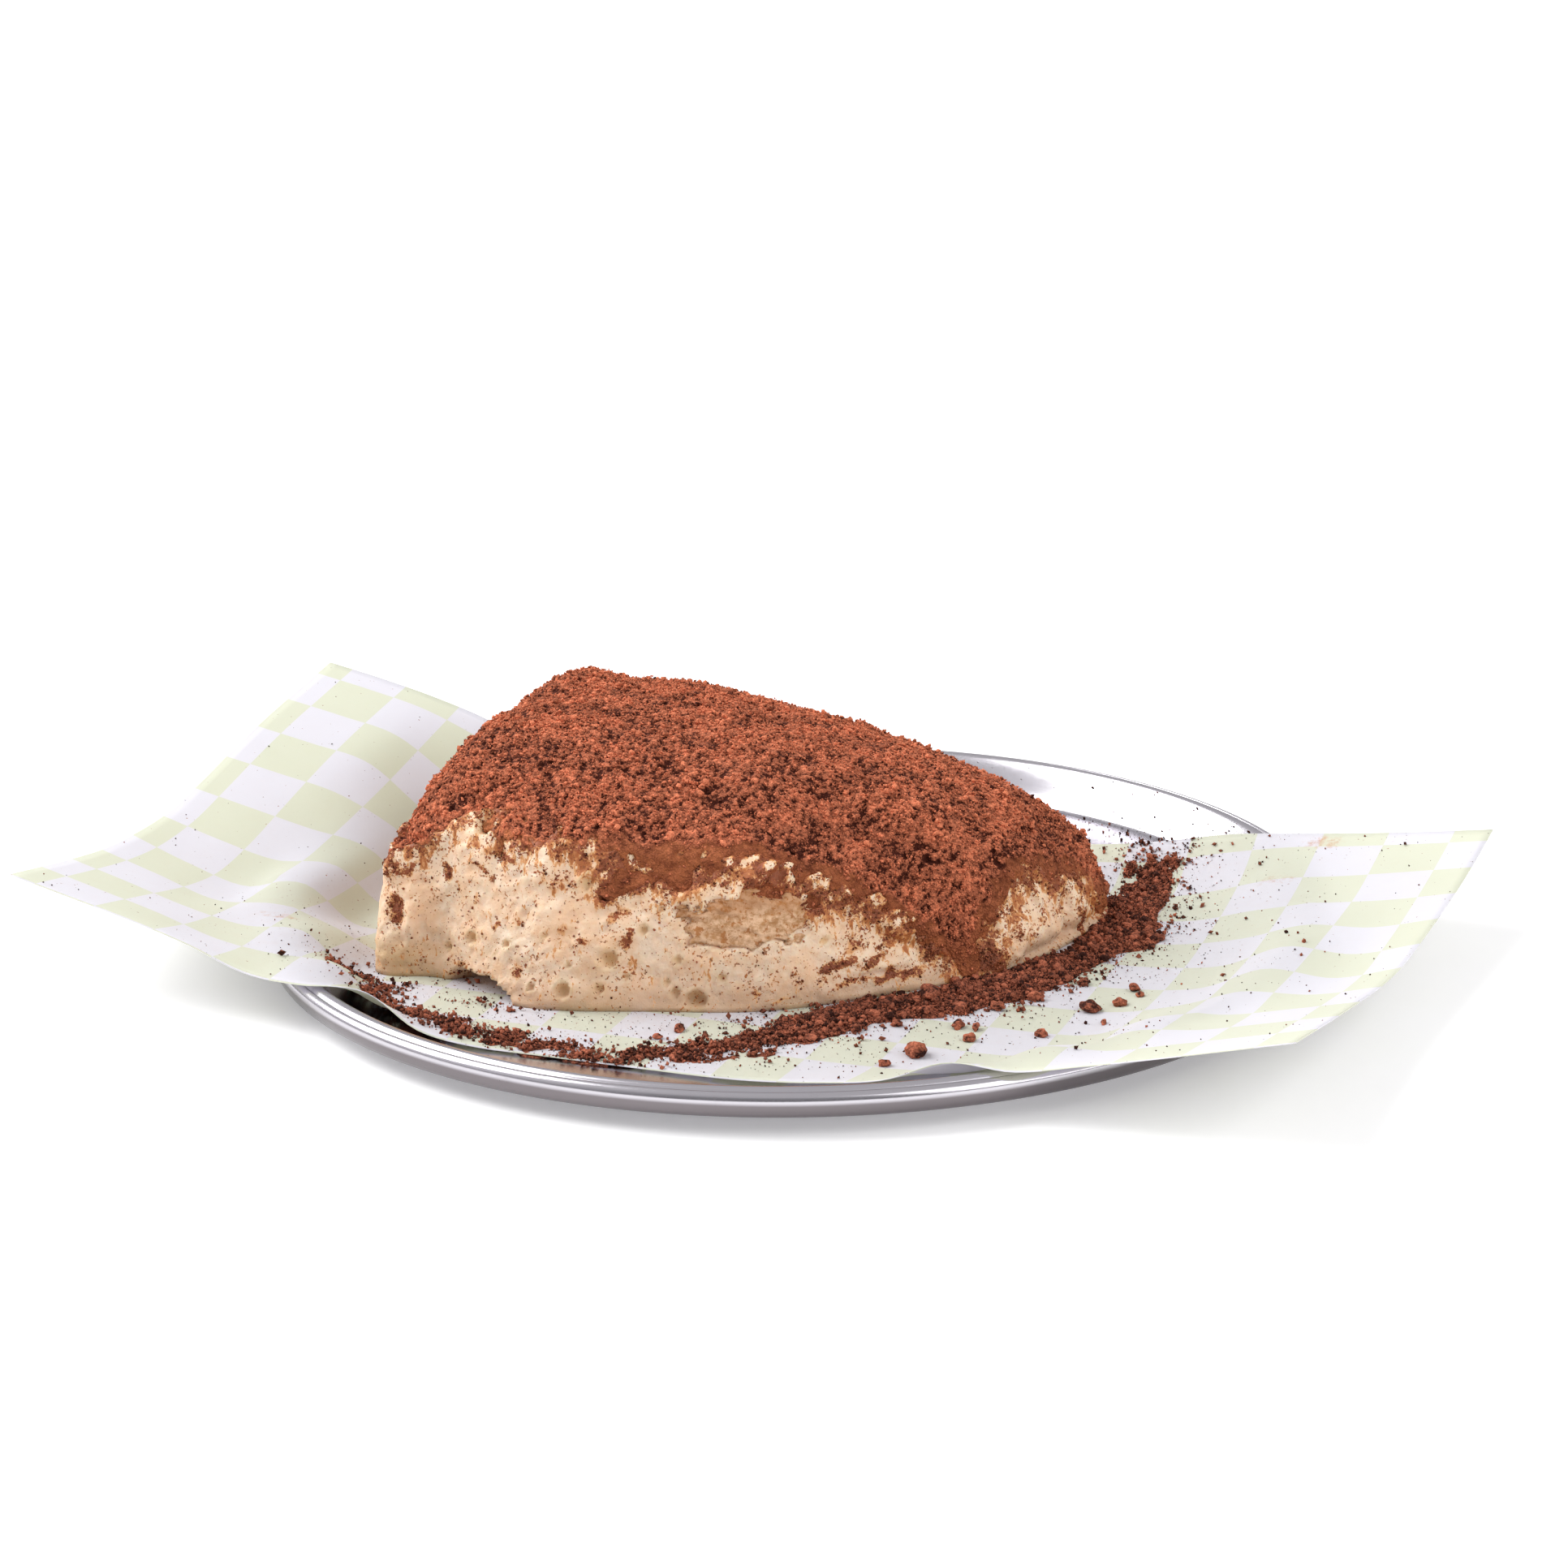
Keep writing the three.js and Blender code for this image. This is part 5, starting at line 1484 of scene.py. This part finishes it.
for number, (a, b, size) in enumerate(LUMPS):
    spots = ball_points * size / 2 + 50 * number
    rough = 0.5 * swell(spots, size * 0.45, 141, 2) + (0.9 * lumps_relief(spots, 1.1, 143) - 0.5) / size
    rough = rough + 0.45 * swell(spots, 0.6, 145) / size
    stretch = [1, random.uniform(0.6, 1.0), random.uniform(0.5, 0.8)]
    shape = ball_points * (1 + rough)[:, None] * stretch * size / 2
    angle = random.uniform(0, np.pi)
    turned = shape @ np.array(Matrix.Rotation(angle, 3, "Z")).T
    x, y, _ = on_table(np.array([a, b, 0.0]))
    ground = float(np.nan_to_num(paper_height(x, y), nan=1.4))
    bank_gap = float(distance_to_route(BANK_ROUTE, a, b)[0])
    lift = 2.0 * max(0.0, 1 - bank_gap / 8)
    lump_points.append(turned + [x, y, ground + size * 0.25 + lift])
    lump_faces.append(ball_faces + number * len(ball_points))
    # Paler on the bumps and darker in the hollows: painted light and shade.
    lump_painted_shade.append(np.clip(0.5 + 1.2 * rough, 0, 1))
lump_points, lump_faces = np.concatenate(lump_points), np.concatenate(lump_faces)
cocoa_piece("cocoa_lumps", lump_points, lump_faces, crumb_finish, np.concatenate(lump_painted_shade))


# ---------- Cream on the plate ----------
# A thin smear of cream that the slice left on the steel behind its right-hand end.


def smear_mesh():
    """A thin uneven patch whose edge runs out into the steel."""
    columns, rows = 70, 34
    a, b = np.meshgrid(np.linspace(-1, 1, columns), np.linspace(-1, 1, rows), indexing="ij")
    long, wide = 15.0, 6.0
    turn = np.radians(-48)
    x = 63.5 + a * long * np.cos(turn) - b * wide * np.sin(turn)
    y = 34.0 + a * long * np.sin(turn) + b * wide * np.cos(turn)
    spots = np.stack([x, y, x * 0], -1)
    round_off = 1 - (a**2 + b**2) + 0.5 * swell(spots, 6, 151, 2) + 0.3 * swell(spots, 2.0, 153, 2)
    z = plate_top(np.hypot(x, y)) - 0.1 + 0.75 * smooth(round_off, 0.0, 0.7) + 0.1 * swell(spots, 1.5, 155)
    z = np.where(round_off < 0, PLATE["steel"] / 2, z)
    points = np.stack([x, y, z], -1).reshape(-1, 3)
    border = border_of(columns, rows)
    centre = np.array([[63.5, 34.0, PLATE["steel"] / 2]])
    faces = np.concatenate([grid_faces(columns, rows)[:, ::-1], fan_faces(border, len(points))[:, ::-1]])
    return np.concatenate([points, centre]), faces


smear_points, smear_faces = smear_mesh()
part_piece(
    "cream_smear", smear_points, smear_faces, bpy.data.materials["mascarpone_cream"], "cream",
    cocoa=np.clip(0.5 + swell(smear_points, 3, 157, 2), 0, 1), edging=np.zeros(len(smear_points)),
    yolk=np.zeros(len(smear_points)), wet=np.full(len(smear_points), 0.4),
)


# ---------- Table, light and camera ----------
# The stage only: a plain white table under a bright soft tent, lighter above and on the left.

table_look, _ = finish_named("white_table", {
    "Base Color": (0.93, 0.93, 0.93, 1), "Roughness": 0.9, "Specular IOR Level": 0.1,
    "Emission Color": (1, 1, 1, 1), "Emission Strength": 0.22,
})
table_size = 9000
table_points = np.array([(-1, -1, 0), (1, -1, 0), (1, 1, 0), (-1, 1, 0)]) * table_size / 2 - [0, 0, 0.02]
table = piece("table", table_points, np.array([(0, 1, 2, 3)]), table_look)

world = bpy.data.worlds.new("studio")
world.use_nodes = True
bpy.context.scene.world = world
sky = Socket(world.node_tree)
direction = sky.node("TexCoord", output="Generated")
x, y, z = (sky.node("SeparateXYZ", values={0: direction}, output=axis) for axis in "XYZ")
tone = sky.node("ValToRGB", {"stops": [
    (0.0, (0.50, 0.48, 0.51)), (0.15, (0.66, 0.64, 0.67)), (0.4, (0.90, 0.89, 0.91)), (1.0, (1.0, 0.99, 1.0)),
]}, {"Fac": z})
in_front = (1 - y.rise(-0.85, -0.1)) * (1 - z.rise(0.45, 0.9))
on_left = (1 - x.rise(-0.9, -0.3)) * z.rise(0.02, 0.2)
level = 1 - in_front * 0.5 + on_left * 0.5
light = sky.node("VectorMath", {"operation": "SCALE"}, {0: tone, "Scale": level})
background = world.node_tree.nodes["Background"]
background.inputs["Strength"].default_value = 0.64
world.node_tree.links.new(light.output, background.inputs["Color"])


def shining_from(name, kind, place, strength, size):
    """A lamp at a place, or a distant one in that direction, aimed at the plate."""
    lamp = bpy.data.lights.new(name, kind)
    lamp.energy = strength
    if kind == "SUN":
        lamp.angle = np.radians(size)
    else:
        lamp.shape = "SQUARE"
        lamp.size = size
    holder = bpy.data.objects.new(name, lamp)
    holder.location = place
    holder.rotation_mode = "QUATERNION"
    holder.rotation_quaternion = (Vector((0, 0, 0.01)) - Vector(place)).to_track_quat("-Z", "Y")
    bpy.context.scene.collection.objects.link(holder)


shining_from("key", "SUN", (-0.85, 0.3, 0.85), 2.9, 45)
shining_from("fill", "AREA", (1.1, -0.9, 0.9), 14, 1.4)

# The camera's place, aim, roll and lens come from the plate's ellipse and the paper's checks.
camera = bpy.data.cameras.new("camera")
camera.lens = 83.85
camera.sensor_width = 36
camera.clip_end = 50
viewer = bpy.data.objects.new("camera", camera)
viewer.location = (0, -0.665287, 0.236090)
viewer.rotation_mode = "QUATERNION"
aim = Vector((-0.003618, 0.955438, -0.295169)).to_track_quat("-Z", "Y")
roll = Quaternion((0, 0, 1), np.radians(-0.964))
viewer.rotation_quaternion = aim @ roll
bpy.context.scene.collection.objects.link(viewer)
bpy.context.scene.camera = viewer
bpy.context.scene.view_settings.view_transform = "Standard"
